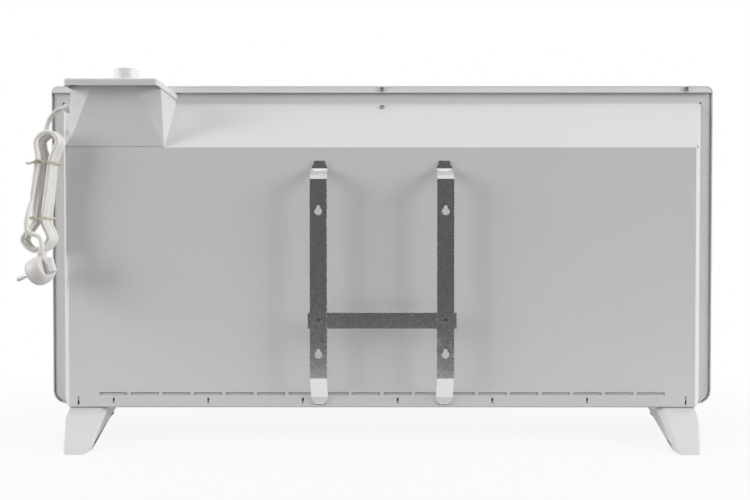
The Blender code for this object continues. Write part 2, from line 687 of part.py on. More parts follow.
def make_bracket_crossbar(zinc):
    half = BRACKET_SPREAD / 2 + BRACKET_WIDTH / 2 + CROSSBAR_PAST
    bar = block("bracket_crossbar",
                (-half, CROSSBAR_FAR_Y - BRACKET_STEEL, CROSSBAR_Z - CROSSBAR_HEIGHT / 2),
                (half, CROSSBAR_FAR_Y, CROSSBAR_Z + CROSSBAR_HEIGHT / 2), zinc)
    for index, x in enumerate(bracket_sides()):
        cut(bar, rivet_hole(f"crossbar_rivet_cutter_{index}", x, zinc))
    return bar


def make_bracket_rivet(name, x, zinc):
    """A rivet through the upright and the crossbar: domed inside, flush on the wall side."""
    far = CROSSBAR_FAR_Y - BRACKET_STEEL - GAP
    dome = RIVET_HEAD_HEIGHT
    length = WEB_OUTER_Y - RIVET_SINK - far
    seat = length - RIVET_SEAT + RIVET_SINK + GAP
    crown = RIVET_HEAD * RIVET_DOME_SHARE
    profile = ((0.0, -dome), (crown, -dome), (RIVET_HEAD, 0.0), (RIVET_RADIUS, 0.0),
               (RIVET_RADIUS, seat), (RIVET_HEAD, seat), (RIVET_HEAD, length), (0.0, length))
    return turned(name, profile, (x, far, CROSSBAR_Z), (0, 1, 0), zinc, 12)


# Feet, two moulded arches across the underside
FOOT_DEPTH = 0.203
FOOT_SOLE_WIDTH = 0.0305
FOOT_FLARE_IN = 0.0105         # how much wider the seat is than the sole, inwards
FOOT_FLARE_OUT = 0.0040
FOOT_FROM_SIDE = 0.0167        # outer edge of the rear sole, inside the back's side edge
FOOT_SPLAY_SHARE = 0.218       # sideways per depth: the front legs stand further out
FOOT_SOLE_SHARE = 0.11         # sole of each leg, of the depth
FOOT_SHOULDER_SHARE = 0.33     # place of the shoulder, of the depth
FOOT_SHOULDER_DROP = 0.0045    # shoulder below the seat
FOOT_TOE_HEIGHT = 0.0060
FOOT_TOE_REACH = 0.0050
FOOT_CROTCH_SHARE = 0.33       # height of the arch's crown, of the foot's height
FOOT_ARCH_SHARE = 0.31         # half span of the arch, of the depth
ARCH_POINT_SHARES = ((1.0, 0.55), (0.6, 0.9), (0.0, 1.0))   # across the half span, up the crown
FOOT_SCREW_PITCH = 0.046
SCREW_RADIUS = 0.0019
SCREW_HEAD = 0.0037
SCREW_HEAD_HEIGHT = 0.0018
SCREW_CROWN_SHARE = 0.7        # flat top of the head, of its radius
SCREW_LENGTH = 0.0080


FOOT_OUTER = BACK_WIDTH / 2 - FOOT_FROM_SIDE


def foot_top_z(y):
    return floor_z(y) - GAP


def foot_shift(y):
    """How far a foot has moved outwards at a depth, from its rear end."""
    return FOOT_SPLAY_SHARE * (FOOT_DEPTH / 2 - y)


def foot_profile():
    """The arch seen from the side: seat, shoulders, toes, soles and the hollow between them."""
    end = FOOT_DEPTH / 2
    sole = FOOT_DEPTH * FOOT_SOLE_SHARE
    arch = FOOT_DEPTH * FOOT_ARCH_SHARE
    shoulder = FOOT_DEPTH * FOOT_SHOULDER_SHARE
    crown = foot_top_z(0.0) * FOOT_CROTCH_SHARE
    under_panel = PANEL_LOW - GAP
    seat_end = foot_top_z(BEND_Y)
    rear = [(RIM_Y + GAP, foot_top_z(RIM_Y)), (BEND_Y, seat_end),
            (shoulder, seat_end - FOOT_SHOULDER_DROP), (end - FOOT_TOE_REACH, FOOT_TOE_HEIGHT),
            (end, FOOT_TOE_HEIGHT / 3), (end, 0.0), (end - sole, 0.0)]
    hollow = [(arch * across, crown * up) for across, up in ARCH_POINT_SHARES]
    hollow += [(-y, z) for y, z in reversed(hollow[:-1])]
    front = [(-end + sole, 0.0), (-end, 0.0), (-end, FOOT_TOE_HEIGHT / 3),
             (-end + FOOT_TOE_REACH, FOOT_TOE_HEIGHT), (-shoulder, under_panel - FOOT_SHOULDER_DROP),
             (FRONT_Y, under_panel), (RIM_Y + GAP, under_panel)]
    return rear + hollow + front


def make_foot(name, side, cream):
    """The profile drawn out sideways, flared towards its seat and splayed towards the front."""
    foot = prism(name, foot_profile(), "x", 0.0, 1.0, cream)
    for vertex in foot.data.vertices:
        rise = vertex.co.z / foot_top_z(BEND_Y)
        inner = FOOT_OUTER - FOOT_SOLE_WIDTH - FOOT_FLARE_IN * rise
        outer = FOOT_OUTER + FOOT_FLARE_OUT * rise
        vertex.co.x = side * (inner + (outer - inner) * vertex.co.x + foot_shift(vertex.co.y))
    if side < 0:
        foot.data.flip_normals()
    for index, y in enumerate(foot_screw_places()):
        x = foot_screw_x(side, y)
        cut(foot, turned(f"{name}_screw_cutter_{index}", rod_profile(SCREW_RADIUS + GAP, FOOT_DEPTH / 2),
                         (x, y, -OVERRUN), (0, 0, 1), cream, 12))
        well = rod_profile(SCREW_HEAD + GAP, OVERRUN + foot_top_z(y) - SCREW_LENGTH / 2)
        cut(foot, turned(f"{name}_well_cutter_{index}", well, (x, y, -OVERRUN), (0, 0, 1), cream, 12))
    return foot


def foot_screw_x(side, y):
    """Middle of the seat at a depth."""
    return side * (FOOT_OUTER + (FOOT_FLARE_OUT - FOOT_SOLE_WIDTH - FOOT_FLARE_IN) / 2 + foot_shift(y))


def foot_screw_places():
    return (-FOOT_SCREW_PITCH / 2, FOOT_SCREW_PITCH / 2)


def make_screw(name, seat, direction, length, metal):
    """A pan-head screw with its head on the seat and its shank against the direction."""
    head = SCREW_HEAD_HEIGHT
    profile = ((0.0, -length), (SCREW_RADIUS, -length), (SCREW_RADIUS, 0.0), (SCREW_HEAD, 0.0),
               (SCREW_HEAD, head / 2), (SCREW_HEAD * SCREW_CROWN_SHARE, head), (0.0, head))
    return turned(name, profile, seat, direction, metal, 12)


# Thermostat, its bush in the plate, and the knob
def make_thermostat_body(black):
    """A square switch body under the plate with a round bush up through it."""
    half = THERMOSTAT_SIZE / 2
    high = PLATE_UNDER_Z - GAP
    body = block("thermostat_body", (KNOB_X - half, KNOB_Y - half, high - THERMOSTAT_HEIGHT),
                 (KNOB_X + half, KNOB_Y + half, high), black)
    bush = turned("thermostat_bush", rod_profile(THERMOSTAT_BUSH, PLATE_TOP_Z - high + THERMOSTAT_EDGE),
                  (KNOB_X, KNOB_Y, high - THERMOSTAT_EDGE), (0, 0, 1), black)
    fuse(body, bush)
    bore = rod_profile(SHAFT_RADIUS + SHAFT_CLEARANCE, SHAFT_BORE_DEPTH + OVERRUN)
    cut(body, turned("shaft_bore_cutter", bore, (KNOB_X, KNOB_Y, high - SHAFT_BORE_DEPTH), (0, 0, 1), black))
    return body


def make_knob_shaft(metal):
    start = PLATE_UNDER_Z - SHAFT_BORE_DEPTH + SHAFT_CLEARANCE
    length = KNOB_Z + KNOB_HEIGHT / 2 - start
    shaft = turned("knob_shaft", rod_profile(SHAFT_RADIUS, length), (0, 0, start - KNOB_Z),
                   (0, 0, 1), metal, 16)
    shaft.location = (KNOB_X, KNOB_Y, KNOB_Z)
    return shaft


def make_knob(cream):
    """A turned cap with a skirt, flutes round its grip and a blind bore for the shaft."""
    grip = KNOB_RADIUS - KNOB_SKIRT
    profile = ((0.0, 0.0), (KNOB_RADIUS, 0.0), (KNOB_RADIUS, KNOB_SKIRT),
               (grip, KNOB_SKIRT + KNOB_EDGE), (grip, KNOB_HEIGHT - KNOB_EDGE),
               (grip - KNOB_EDGE, KNOB_HEIGHT), (0.0, KNOB_HEIGHT))
    knob = turned("thermostat_knob", profile, (0, 0, 0), (0, 0, 1), cream, 2 * KNOB_FLUTES)
    for index, vertex in enumerate(knob.data.vertices):
        reach = math.hypot(vertex.co.x, vertex.co.y)
        at_grip = vertex.co.z > KNOB_SKIRT + KNOB_EDGE / 2 and reach > SHAFT_RADIUS
        if at_grip and index % 2:
            vertex.co.x *= 1 - KNOB_FLUTE / reach
            vertex.co.y *= 1 - KNOB_FLUTE / reach
    knob.location = (KNOB_X, KNOB_Y, KNOB_Z)
    bore = turned("knob_bore_cutter", rod_profile(SHAFT_RADIUS + GAP, KNOB_HEIGHT / 2 + GAP + OVERRUN),
                  (0, 0, -OVERRUN), (0, 0, 1), cream)
    bore.location = knob.location
    cut(knob, bore)
    return knob


# Heating element and what holds it
ELEMENT_FROM_SIDE = 0.0657     # end of the fins, inside the back's side edge
ELEMENT_Z = 0.150
ELEMENT_FINS = 30
ELEMENT_FIN_WIDTH = 0.0016
ELEMENT_FIN_REACH = 0.027
ELEMENT_DEPTH = 0.030
ELEMENT_BASE = 0.009
ELEMENT_CORE = 0.004
ELEMENT_STUD = 0.024
HOLDER_STEEL = 0.0015
HOLDER_WIDTH = 0.030
HOLDER_FOOT = 0.014
SHIELD_STEEL = 0.0010
SHIELD_LOW = 0.100
SHIELD_UNDER_BLOCK = 0.005      # shield's upper foot below the terminal block
SHIELD_STANDOFF = 0.010
SHIELD_FOOT = 0.010
CUTOUT_RADIUS = 0.008
CUTOUT_HEIGHT = 0.006
CUTOUT_CAP_SHARE = 0.6         # cap of the button, of its radius and of its height
BLOCK_LENGTH = 0.040
BLOCK_DEPTH = 0.016
BLOCK_HEIGHT = 0.018
BLOCK_FROM_HOUSING = 0.020
BLOCK_WAYS = 3
WIRE_RADIUS = 0.0013
RISE_SHARES = (0.15, 0.42)     # bends of the thermostat's wires, of their rise
DROP_SHARES = (0.3, 0.7, 0.975)   # bends of the element's wire, of its drop
SWING_SHARES = (0.2, 1.2, 0.9)    # how far it swings out there, of the block's pitch

ELEMENT_LENGTH = BACK_WIDTH - 2 * ELEMENT_FROM_SIDE
ELEMENT_Y = (FRONT_Y + BACK_Y - SHIELD_STANDOFF) / 2
SHIELD_Y = INNER_BACK_Y - GAP - SHIELD_STANDOFF
SHIELD_HIGH = KINK_Z - BLOCK_FROM_HOUSING - BLOCK_HEIGHT - SHIELD_UNDER_BLOCK - SHIELD_FOOT


def make_heating_element(aluminium):
    """A finned bar drawn from one comb outline, with a round stud through it from end to end."""
    half = ELEMENT_LENGTH / 2
    pitch = ELEMENT_LENGTH / ELEMENT_FINS
    upper = []
    for fin in range(ELEMENT_FINS):
        middle = -half + pitch * (fin + 0.5)
        left = middle - ELEMENT_FIN_WIDTH / 2
        right = middle + ELEMENT_FIN_WIDTH / 2
        upper += [(left, ELEMENT_BASE / 2), (left, ELEMENT_FIN_REACH),
                  (right, ELEMENT_FIN_REACH), (right, ELEMENT_BASE / 2)]
    upper = [(-half, ELEMENT_BASE / 2)] + upper + [(half, ELEMENT_BASE / 2)]
    outline = [(x, ELEMENT_Z + z) for x, z in upper]
    outline += [(x, ELEMENT_Z - z) for x, z in reversed(upper)]
    element = prism("heating_element", outline, "y", ELEMENT_Y - ELEMENT_DEPTH / 2,
                    ELEMENT_Y + ELEMENT_DEPTH / 2, aluminium)
    stud = turned("element_stud", rod_profile(ELEMENT_CORE, ELEMENT_LENGTH + 2 * ELEMENT_STUD),
                  (-half - ELEMENT_STUD, ELEMENT_Y, ELEMENT_Z), (1, 0, 0), aluminium, 12)
    fuse(element, stud)
    return element


def holder_x():
    return ELEMENT_LENGTH / 2 + ELEMENT_STUD / 2


def make_element_holder(name, side, zinc):
    """An angle on the inside of the back; the element's stud lies in its hole."""
    x = side * holder_x()
    far = INNER_BACK_Y - GAP
    path = [(x - side * HOLDER_FOOT, far), (x, far), (x, ELEMENT_Y - HOLDER_WIDTH / 2)]
    thickness = side * HOLDER_STEEL
    outline = strip_outline(path, -thickness)
    holder = prism(name, outline, "z", ELEMENT_Z - HOLDER_WIDTH / 2, ELEMENT_Z + HOLDER_WIDTH / 2, zinc)
    cut(holder, turned(f"{name}_cutter", rod_profile(ELEMENT_CORE + GAP, HOLDER_STEEL + 2 * OVERRUN),
                       (x - HOLDER_STEEL - OVERRUN, ELEMENT_Y, ELEMENT_Z), (1, 0, 0), zinc, 12))
    return holder


def make_heat_shield(zinc):
    """A sheet on two folded feet between the element and the back."""
    far = INNER_BACK_Y - GAP
    path = [(far, SHIELD_LOW - SHIELD_FOOT), (far, SHIELD_LOW), (SHIELD_Y, SHIELD_LOW + SHIELD_STANDOFF),
            (SHIELD_Y, SHIELD_HIGH - SHIELD_STANDOFF), (far, SHIELD_HIGH), (far, SHIELD_HIGH + SHIELD_FOOT)]
    shield_half = (holder_x() - HOLDER_FOOT - HOLDER_STEEL - GAP)
    return prism("heat_shield", strip_outline(path, SHIELD_STEEL), "x", -shield_half, shield_half, zinc)


def make_thermal_cutout(black):
    """A button thermostat that sits on the shield."""
    cap = CUTOUT_CAP_SHARE
    profile = ((0.0, 0.0), (CUTOUT_RADIUS, 0.0), (CUTOUT_RADIUS, CUTOUT_HEIGHT * cap),
               (CUTOUT_RADIUS * cap, CUTOUT_HEIGHT), (0.0, CUTOUT_HEIGHT))
    x = ELEMENT_LENGTH / 2 - ELEMENT_FIN_REACH
    z = SHIELD_HIGH - SHIELD_STANDOFF - 2 * CUTOUT_RADIUS
    return turned("thermal_cutout", profile, (x, SHIELD_Y - SHIELD_STEEL - GAP, z), (0, -1, 0), black, 16)


def block_box():
    """Corners of the terminal block on the inside of the back, under the housing."""
    far = INNER_BACK_Y - GAP
    high = KINK_Z - BLOCK_FROM_HOUSING
    return ((KNOB_X - BLOCK_LENGTH / 2, far - BLOCK_DEPTH, high - BLOCK_HEIGHT),
            (KNOB_X + BLOCK_LENGTH / 2, far, high))


def make_terminal_block(cream):
    low, high = block_box()
    terminal = block("terminal_block", low, high, cream)
    boxes = []
    pitch = BLOCK_LENGTH / BLOCK_WAYS
    for way in range(1, BLOCK_WAYS):
        x = low[0] + pitch * way
        boxes.append(((x - SHEET / 2, low[1] - OVERRUN, low[2] - OVERRUN),
                      (x + SHEET / 2, low[1] + BLOCK_DEPTH / 2, high[2] + OVERRUN)))
    cut(terminal, many_boxes("terminal_groove_cutter", boxes, cream))
    return terminal


def make_wires(red, blue):
    """Supply wires up to the thermostat and a wire down to the element's stud."""
    low, high = block_box()
    pitch = BLOCK_LENGTH / BLOCK_WAYS
    top = high[2] + GAP
    y = low[1] + BLOCK_DEPTH / 2
    under = PLATE_UNDER_Z - GAP - THERMOSTAT_HEIGHT - GAP
    for index, paint_of in ((-1, red), (0, blue)):
        x = KNOB_X + pitch * index
        rise = under - top
        end_x = KNOB_X + WIRE_RADIUS * 3 * index
        route = [(x, y, top), (x, y, top + rise * RISE_SHARES[0]),
                 (end_x, KNOB_Y, top + rise * RISE_SHARES[1]), (end_x, KNOB_Y, under)]
        tube(f"thermostat_wire_{index + 2}", smooth_route(route, 14), WIRE_RADIUS, 1, paint_of)
    x = KNOB_X + pitch
    end_x = ELEMENT_LENGTH / 2 + ELEMENT_STUD + GAP
    low_z = low[2] - GAP
    drop = low_z - ELEMENT_Z
    route = [(x, y, low_z), (x + pitch * SWING_SHARES[0], y - WIRE_RADIUS, low_z - drop * DROP_SHARES[0]),
             (end_x + pitch * SWING_SHARES[1], (y + ELEMENT_Y) / 2, low_z - drop * DROP_SHARES[1]),
             (end_x + pitch * SWING_SHARES[2], ELEMENT_Y, low_z - drop * DROP_SHARES[2]),
             (end_x, ELEMENT_Y, ELEMENT_Z)]
    tube("element_wire", smooth_route(route, 18), WIRE_RADIUS, 1, red)


# Mains lead: a gland on the housing's outer wall, a short run, a tied hank, a tail and a plug
CORD_RADIUS = 0.0027
GLAND_FROM_BACK = 0.021
GLAND_DROP = 0.0380            # panel top to the gland's middle
GLAND_FLANGE = 0.0085
GLAND_FLANGE_THICK = 0.0025
GLAND_NECK = 0.0060
GLAND_TIP = 0.0042
GLAND_REACH = 0.0105
HANK_OUT = 0.0235              # middle of the hank, out from the housing's wall
HANK_BEHIND = 0.0100           # behind the back
HANK_DROP = 0.1395             # below the panel's upper edge
HANK_HALF_LENGTH = 0.0680
HANK_LEAN = math.radians(7.0)  # its foot hangs outwards
HANK_LOOPS = 4
HANK_LOOP_POINTS = 24
HANK_PITCH = 0.0060
HANK_WAIST = 0.0092
HANK_TOP_FOLD = 0.0128
HANK_LOW_FOLD = 0.0165
HANK_FOLD_STEP_SHARE = 0.40    # spiral step at the folds, of the step at the waist
HANK_CLIMB_SHARE = 0.25        # climb to the next layer, of a loop
HANK_WAIST_SHARE = 0.64        # length of the narrow stretch, of the straight run
BESIDE_LAYERS = 1.25           # how far the lead and the tail lie beside the hank, in layers
TIE_THICK = 0.0009
TIE_WIDTH = 0.0035
TIE_PLACES = (0.0330, -0.0300)
TIE_MARGIN = 0.0006
PLUG_NECK = 0.0052
PLUG_OUT = 0.0205              # middle of the plug, out from the housing's wall
PLUG_BEHIND = 0.0250
PLUG_DROP = 0.2300
PLUG_AIM_SHARES = (0.62, -0.72, -0.30)   # which way the pins point
PLUG_RADIUS = 0.0175
PLUG_DEPTH = 0.0200
PLUG_EDGE = 0.0012
PLUG_BACK_RADIUS = 0.0125
PLUG_SHOULDER_SHARE = 0.4      # where the back's dome meets the side, of its depth
PLUG_GRIP_REACH = 0.0120
PLUG_GRIP_WIDTH = 0.0095
PLUG_GRIP_HEIGHT = 0.0200
PLUG_NECK_LENGTH = 0.0050
PIN_RADIUS = 0.0024
PIN_LENGTH = 0.0190
PIN_SEAT = 0.0030
PIN_SPACING = 0.0190

GLAND_Y = BACK_Y - GLAND_FROM_BACK
GLAND_Z = PANEL_HIGH - GLAND_DROP
GLAND_END_X = HOUSING_X + GAP + GLAND_REACH
GLAND_SHOULDER = 0.0035        # where the sleeve starts to taper
HANK_X = HOUSING_X + HANK_OUT
HANK_Y = BACK_Y + HANK_BEHIND
HANK_Z = PANEL_HIGH - HANK_DROP


def make_cord_gland(white):
    """A flanged bush with a neck through the wall and a tapered sleeve outside."""
    start = -SHEET - 2 * GAP
    bore = CORD_RADIUS + GAP
    profile = ((bore, start), (GLAND_NECK, start), (GLAND_NECK, 0.0), (GLAND_FLANGE, 0.0),
               (GLAND_FLANGE, GLAND_FLANGE_THICK), (GLAND_NECK, GLAND_SHOULDER),
               (GLAND_TIP, GLAND_REACH), (bore, GLAND_REACH), (bore, start))
    bm = bmesh.new()
    sides = ROUND_SIDES
    rings = []
    for radius, height in profile[:-1]:
        rings.append([Vector((height, radius * math.cos(math.tau * side / sides),
                              radius * math.sin(math.tau * side / sides))) for side in range(sides)])
    skin(bm, rings, closed=True)
    close_and_face_out(bm)
    bmesh.ops.translate(bm, vec=(HOUSING_X + GAP, GLAND_Y, GLAND_Z), verts=bm.verts)
    return place(bm, "cord_gland", white, smooth=True)


def hank_point(turn):
    """Middle of the cord after so many loops: an oval drawn in at its waist, one layer a loop."""
    phase = turn % 1.0
    since = turn - HANK_START_TURN
    loop = math.floor(since + 0.5)
    swing = abs(since - 2 * math.floor(since / 2 + 0.5))
    climb = min(max((since - loop) / HANK_CLIMB_SHARE + 0.5, 0.0), 1.0)
    layer = loop - 1 + climb * climb * (3 - 2 * climb)
    layer = min(max(layer, 0.0), HANK_LOOPS - 1.0)
    low = phase >= 0.25 and phase < 0.5
    high = phase >= 0.75
    fold_step = HANK_PITCH * HANK_FOLD_STEP_SHARE * swing
    top_fold = HANK_TOP_FOLD - fold_step
    low_fold = HANK_LOW_FOLD - fold_step
    top_z = HANK_HALF_LENGTH - HANK_TOP_FOLD
    low_z = -HANK_HALF_LENGTH + HANK_LOW_FOLD
    if low:
        angle = math.pi * (phase - 0.25) / 0.25
        across, along = low_fold * math.cos(angle), low_z - low_fold * math.sin(angle)
    elif high:
        angle = math.pi * (phase - 0.75) / 0.25
        across, along = -top_fold * math.cos(angle), top_z + top_fold * math.sin(angle)
    else:
        down = phase < 0.25
        share = phase / 0.25 if down else 1.0 - (phase - 0.5) / 0.25
        along = top_z + (low_z - top_z) * share
        fold = top_fold + (low_fold - top_fold) * share
        waist = HANK_WAIST - HANK_PITCH * swing
        from_middle = abs(2 * share - 1.0)
        ease = min(max((from_middle - HANK_WAIST_SHARE) / (1.0 - HANK_WAIST_SHARE), 0.0), 1.0)
        ease = ease * ease * (3 - 2 * ease)
        across = (waist + (fold - waist) * ease) * (1 if down else -1)
    depth = HANK_PITCH * (layer - (HANK_LOOPS - 1) / 2)
    lean = math.tan(HANK_LEAN)
    return Vector((HANK_X + across - along * lean, HANK_Y + depth, HANK_Z + along))


HANK_START_TURN = 0.125        # the middle of the outer run


def hank_route():
    """One unbroken line from the waist of the first outer run to the waist of the last one."""
    count = HANK_LOOPS * HANK_LOOP_POINTS
    return [hank_point(HANK_START_TURN + HANK_LOOPS * index / count) for index in range(count + 1)]


def least_self_gap(points, radius):
    """Least gap between stretches of a wound cord that aren't neighbours along it."""
    dense = smooth_route(points, 6 * len(points))
    step = (dense[1] - dense[0]).length
    apart = int(4 * radius / step) + 2
    least = math.inf
    for index, point in enumerate(dense):
        for other in dense[index + apart:]:
            least = min(least, (other - point).length)
    return least - 2 * radius


def hank_waist_along():
    """Where the hank starts and ends, halfway down its outer run."""
    return (HANK_LOW_FOLD - HANK_TOP_FOLD) / 2


def cord_wave(across, along, layers):
    """A place beside the hank, in its own frame: across, along and in layers of cord."""
    return Vector((HANK_X + across - along * math.tan(HANK_LEAN), HANK_Y + HANK_PITCH * layers,
                   HANK_Z + along))


# Free points of the lead, chosen by hand: from the hank's middle in x and z, from the gland in y
LEAD_POINTS = ((-0.0048, 0.0000, 0.1000), (0.0015, 0.0012, 0.0951), (0.0062, 0.0040, 0.0862),
               (0.0082, 0.0070, 0.0740), (0.0078, 0.0110, 0.0610))


def lead_route():
    """From the gland out, over and down into the waist of the hank."""
    out = GLAND_END_X + GAP
    first_layer = -(HANK_LOOPS - 1) / 2
    beside = first_layer - BESIDE_LAYERS
    free = [Vector((out, GLAND_Y, GLAND_Z))]
    free += [Vector((HANK_X + x, GLAND_Y + y, HANK_Z + z)) for x, y, z in LEAD_POINTS]
    beside_hank = [cord_wave(0.0115, 0.0480, beside), cord_wave(HANK_WAIST, 0.0330, beside),
                   cord_wave(HANK_WAIST, 0.0205, first_layer - 0.70),
                   cord_wave(HANK_WAIST, 0.0100, first_layer - 0.05),
                   cord_wave(HANK_WAIST, hank_waist_along() + GAP, first_layer)]
    return free + beside_hank


def tail_route():
    """From the hank's waist down past its fold into the plug's neck."""
    last_layer = (HANK_LOOPS - 1) / 2
    beside = last_layer + BESIDE_LAYERS
    neck = plug_neck_top()
    return [cord_wave(HANK_WAIST, hank_waist_along() - GAP, last_layer),
            cord_wave(HANK_WAIST, -0.0100, last_layer + 0.05),
            cord_wave(HANK_WAIST, -0.0195, last_layer + 0.70), cord_wave(HANK_WAIST, -0.0310, beside),
            cord_wave(0.0070, -0.0450, beside), Vector((neck.x + 0.0030, neck.y, neck.z + 0.0160)),
            Vector((neck.x, neck.y, neck.z + 0.0060)), Vector((neck.x, neck.y, neck.z + GAP))]


def plug_middle():
    return Vector((HOUSING_X + PLUG_OUT, BACK_Y + PLUG_BEHIND, PANEL_HIGH - PLUG_DROP))


def plug_neck_top():
    return plug_middle() + Vector((0, 0, PLUG_RADIUS + PLUG_NECK_LENGTH))


def plug_frame():
    """Matrix from the plug's own axes, pins along z and cord along y, to the room."""
    turn = Vector(PLUG_AIM_SHARES).to_track_quat("Z", "Y").to_matrix().to_4x4()
    return Matrix.Translation(plug_middle()) @ turn


def move_mesh(piece, matrix):
    piece.data.transform(matrix)
    return piece


def pin_rod(name, side, radius, start, length, material):
    foot = (side * PIN_SPACING / 2, 0, start)
    return move_mesh(turned(name, rod_profile(radius, length), foot, (0, 0, 1), material, 12), plug_frame())


def make_plug(cream, metal):
    """A round angled plug: body, thumb grip, cord neck, and two pins in their sockets."""
    back = -PLUG_DEPTH / 2
    face = PLUG_DEPTH / 2
    profile = ((0.0, back), (PLUG_BACK_RADIUS, back),
               (PLUG_RADIUS - PLUG_EDGE, back * PLUG_SHOULDER_SHARE), (PLUG_RADIUS, 0.0),
               (PLUG_RADIUS, face - PLUG_EDGE), (PLUG_RADIUS - PLUG_EDGE, face), (0.0, face))
    body = move_mesh(turned("plug_body", profile, (0, 0, 0), (0, 0, 1), cream, 24), plug_frame())
    half = PLUG_GRIP_WIDTH / 2
    high = PLUG_GRIP_HEIGHT / 2
    outline = [(-half, back + PLUG_EDGE), (half, back + PLUG_EDGE), (half, back - PLUG_GRIP_REACH + half),
               (half / 2, back - PLUG_GRIP_REACH), (-half / 2, back - PLUG_GRIP_REACH),
               (-half, back - PLUG_GRIP_REACH + half)]
    grip = prism("plug_grip", outline, "y", -high, high, cream)
    fuse(body, move_mesh(grip, plug_frame()))
    neck = turned("plug_neck", rod_profile(PLUG_NECK, PLUG_RADIUS / 2 + PLUG_NECK_LENGTH),
                  plug_middle() + Vector((0, 0, PLUG_RADIUS / 2)), (0, 0, 1), cream, 16)
    fuse(body, neck)
    for name, side in (("near", 1), ("far", -1)):
        cut(body, pin_rod(f"pin_cutter_{name}", side, PIN_RADIUS + GAP, face - PIN_SEAT,
                          PIN_SEAT + OVERRUN, cream))
        pin_rod(f"plug_pin_{name}", side, PIN_RADIUS, face - PIN_SEAT + GAP, PIN_LENGTH + PIN_SEAT, metal)
    return body


def make_tie(name, along, cream):
    """A flat band round the bundle, square with rounded corners."""
    clear = CORD_RADIUS + TIE_MARGIN
    across = HANK_WAIST + clear
    deep = HANK_PITCH * (HANK_LOOPS - 1) / 2 + clear
    middle = cord_wave(0.0, along, 0.0)
    loops = []
    for extra, level in ((0.0, -TIE_WIDTH / 2), (TIE_THICK, -TIE_WIDTH / 2),
                         (TIE_THICK, TIE_WIDTH / 2), (0.0, TIE_WIDTH / 2)):
        ring = []
        for point in loop_points(across + extra, -deep - extra, deep + extra, clear + extra, 0.0):
            ring.append(middle + Vector((point.x, point.z, level)))
        loops.append(ring)
    bm = bmesh.new()
    skin(bm, loops, closed=True)
    close_and_face_out(bm)
    return place(bm, name, cream)


# Screws that show on the back
LIP_SCREW_INSET = 0.0338       # outer lip screws, from the panel's side edge
LIP_SCREW_LENGTH = 0.0105      # through the hanging lip and the flange
SLOPE_SCREW_DROP = 0.006       # below the upper end of the slope


def screw_places():
    """Name, seat, direction of the head and shank length of each screw in the rear cover."""
    places = []
    reach = CASE_WIDTH / 2 - LIP_SCREW_INSET
    for index, x in enumerate((reach, 0.0, -reach)):
        places.append((f"lip_screw_{index + 1}", (x, RIM_Y, (PANEL_HIGH + RETURN_LOW) / 2), (0, 1, 0),
                       LIP_SCREW_LENGTH))
    slope = Vector((0, SLOPE_Z - KINK_Z, BEND_Y - FLANGE_Y)).normalized()
    along = Vector((0, BEND_Y - FLANGE_Y, KINK_Z - SLOPE_Z)).normalized()
    seat = Vector((0, FLANGE_Y, SLOPE_Z)) + along * SLOPE_SCREW_DROP + slope * GAP
    places.append(("slope_screw", tuple(seat), tuple(slope), SHEET * 2))
    for side, word in ((1, "left"), (-1, "right")):
        for index, y in enumerate(foot_screw_places()):
            seat = (foot_screw_x(side, y), y, foot_top_z(y) - SCREW_LENGTH / 2 - GAP)
            places.append((f"foot_screw_{word}_{index + 1}", seat, (0, 0, -1), SCREW_LENGTH))
    return places


def main():
    clear_scene()
    white = paint("painted steel", (0.72, 0.72, 0.73), 0.45, 0.0)
    grey = paint("grille enamel", (0.66, 0.66, 0.67), 0.5, 0.0)
    cream = paint("white plastic", (0.76, 0.75, 0.72), 0.4, 0.0)
    black = paint("dark plastic", (0.04, 0.04, 0.04), 0.5, 0.0)
    zinc = paint("galvanised steel", (0.50, 0.51, 0.52), 0.38, 1.0)
    aluminium = paint("aluminium", (0.72, 0.72, 0.73), 0.35, 1.0)
    plated = paint("nickel plate", (0.62, 0.60, 0.56), 0.25, 1.0)
    cable = paint("cord jacket", (0.62, 0.60, 0.57), 0.5, 0.0)
    red = paint("brown wire", (0.20, 0.08, 0.03), 0.5, 0.0)
    blue = paint("blue wire", (0.03, 0.10, 0.35), 0.5, 0.0)

    make_front_panel(white)
    for index, x in enumerate(outlet_centres()):
        make_outlet_grille(index, x, grey)
    make_rear_cover(white)
    make_control_housing(white)
    make_top_plate(white)
    make_thermostat_body(black)
    make_knob_shaft(plated)
    make_knob(cream)

    make_heating_element(aluminium)
    make_element_holder("element_holder_left", 1, zinc)
    make_element_holder("element_holder_right", -1, zinc)
    make_heat_shield(zinc)
    make_thermal_cutout(black)
    make_terminal_block(cream)
    make_wires(red, blue)

    for word, x in zip(("left", "right"), bracket_sides()):
        make_bracket_upright(f"bracket_upright_{word}", x, zinc)
        make_bracket_rivet(f"bracket_rivet_{word}", x, zinc)
    make_bracket_crossbar(zinc)
    make_foot("foot_left", 1, cream)
    make_foot("foot_right", -1, cream)
    for name, seat, direction, length in screw_places():
        make_screw(name, seat, direction, length, plated)

    make_cord_gland(white)
    tube("cord_lead", smooth_route(lead_route(), 22), CORD_RADIUS, 2, cable)
    tube("cord_hank", hank_route(), CORD_RADIUS, 1, cable)
    tube("cord_tail", smooth_route(tail_route(), 18), CORD_RADIUS, 2, cable)
    make_tie("hank_tie_upper", TIE_PLACES[0], cream)
    make_tie("hank_tie_lower", TIE_PLACES[1], cream)
    make_plug(cream, plated)
    gap = least_self_gap(hank_route(), CORD_RADIUS)
    print(f"least gap of the hank to itself: {gap * 1000:.2f} mm")


main()
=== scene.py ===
"""The looks of a panel convector heater, seen from its wall side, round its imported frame."""

import json
import math

import bpy
from mathutils import Matrix, Vector


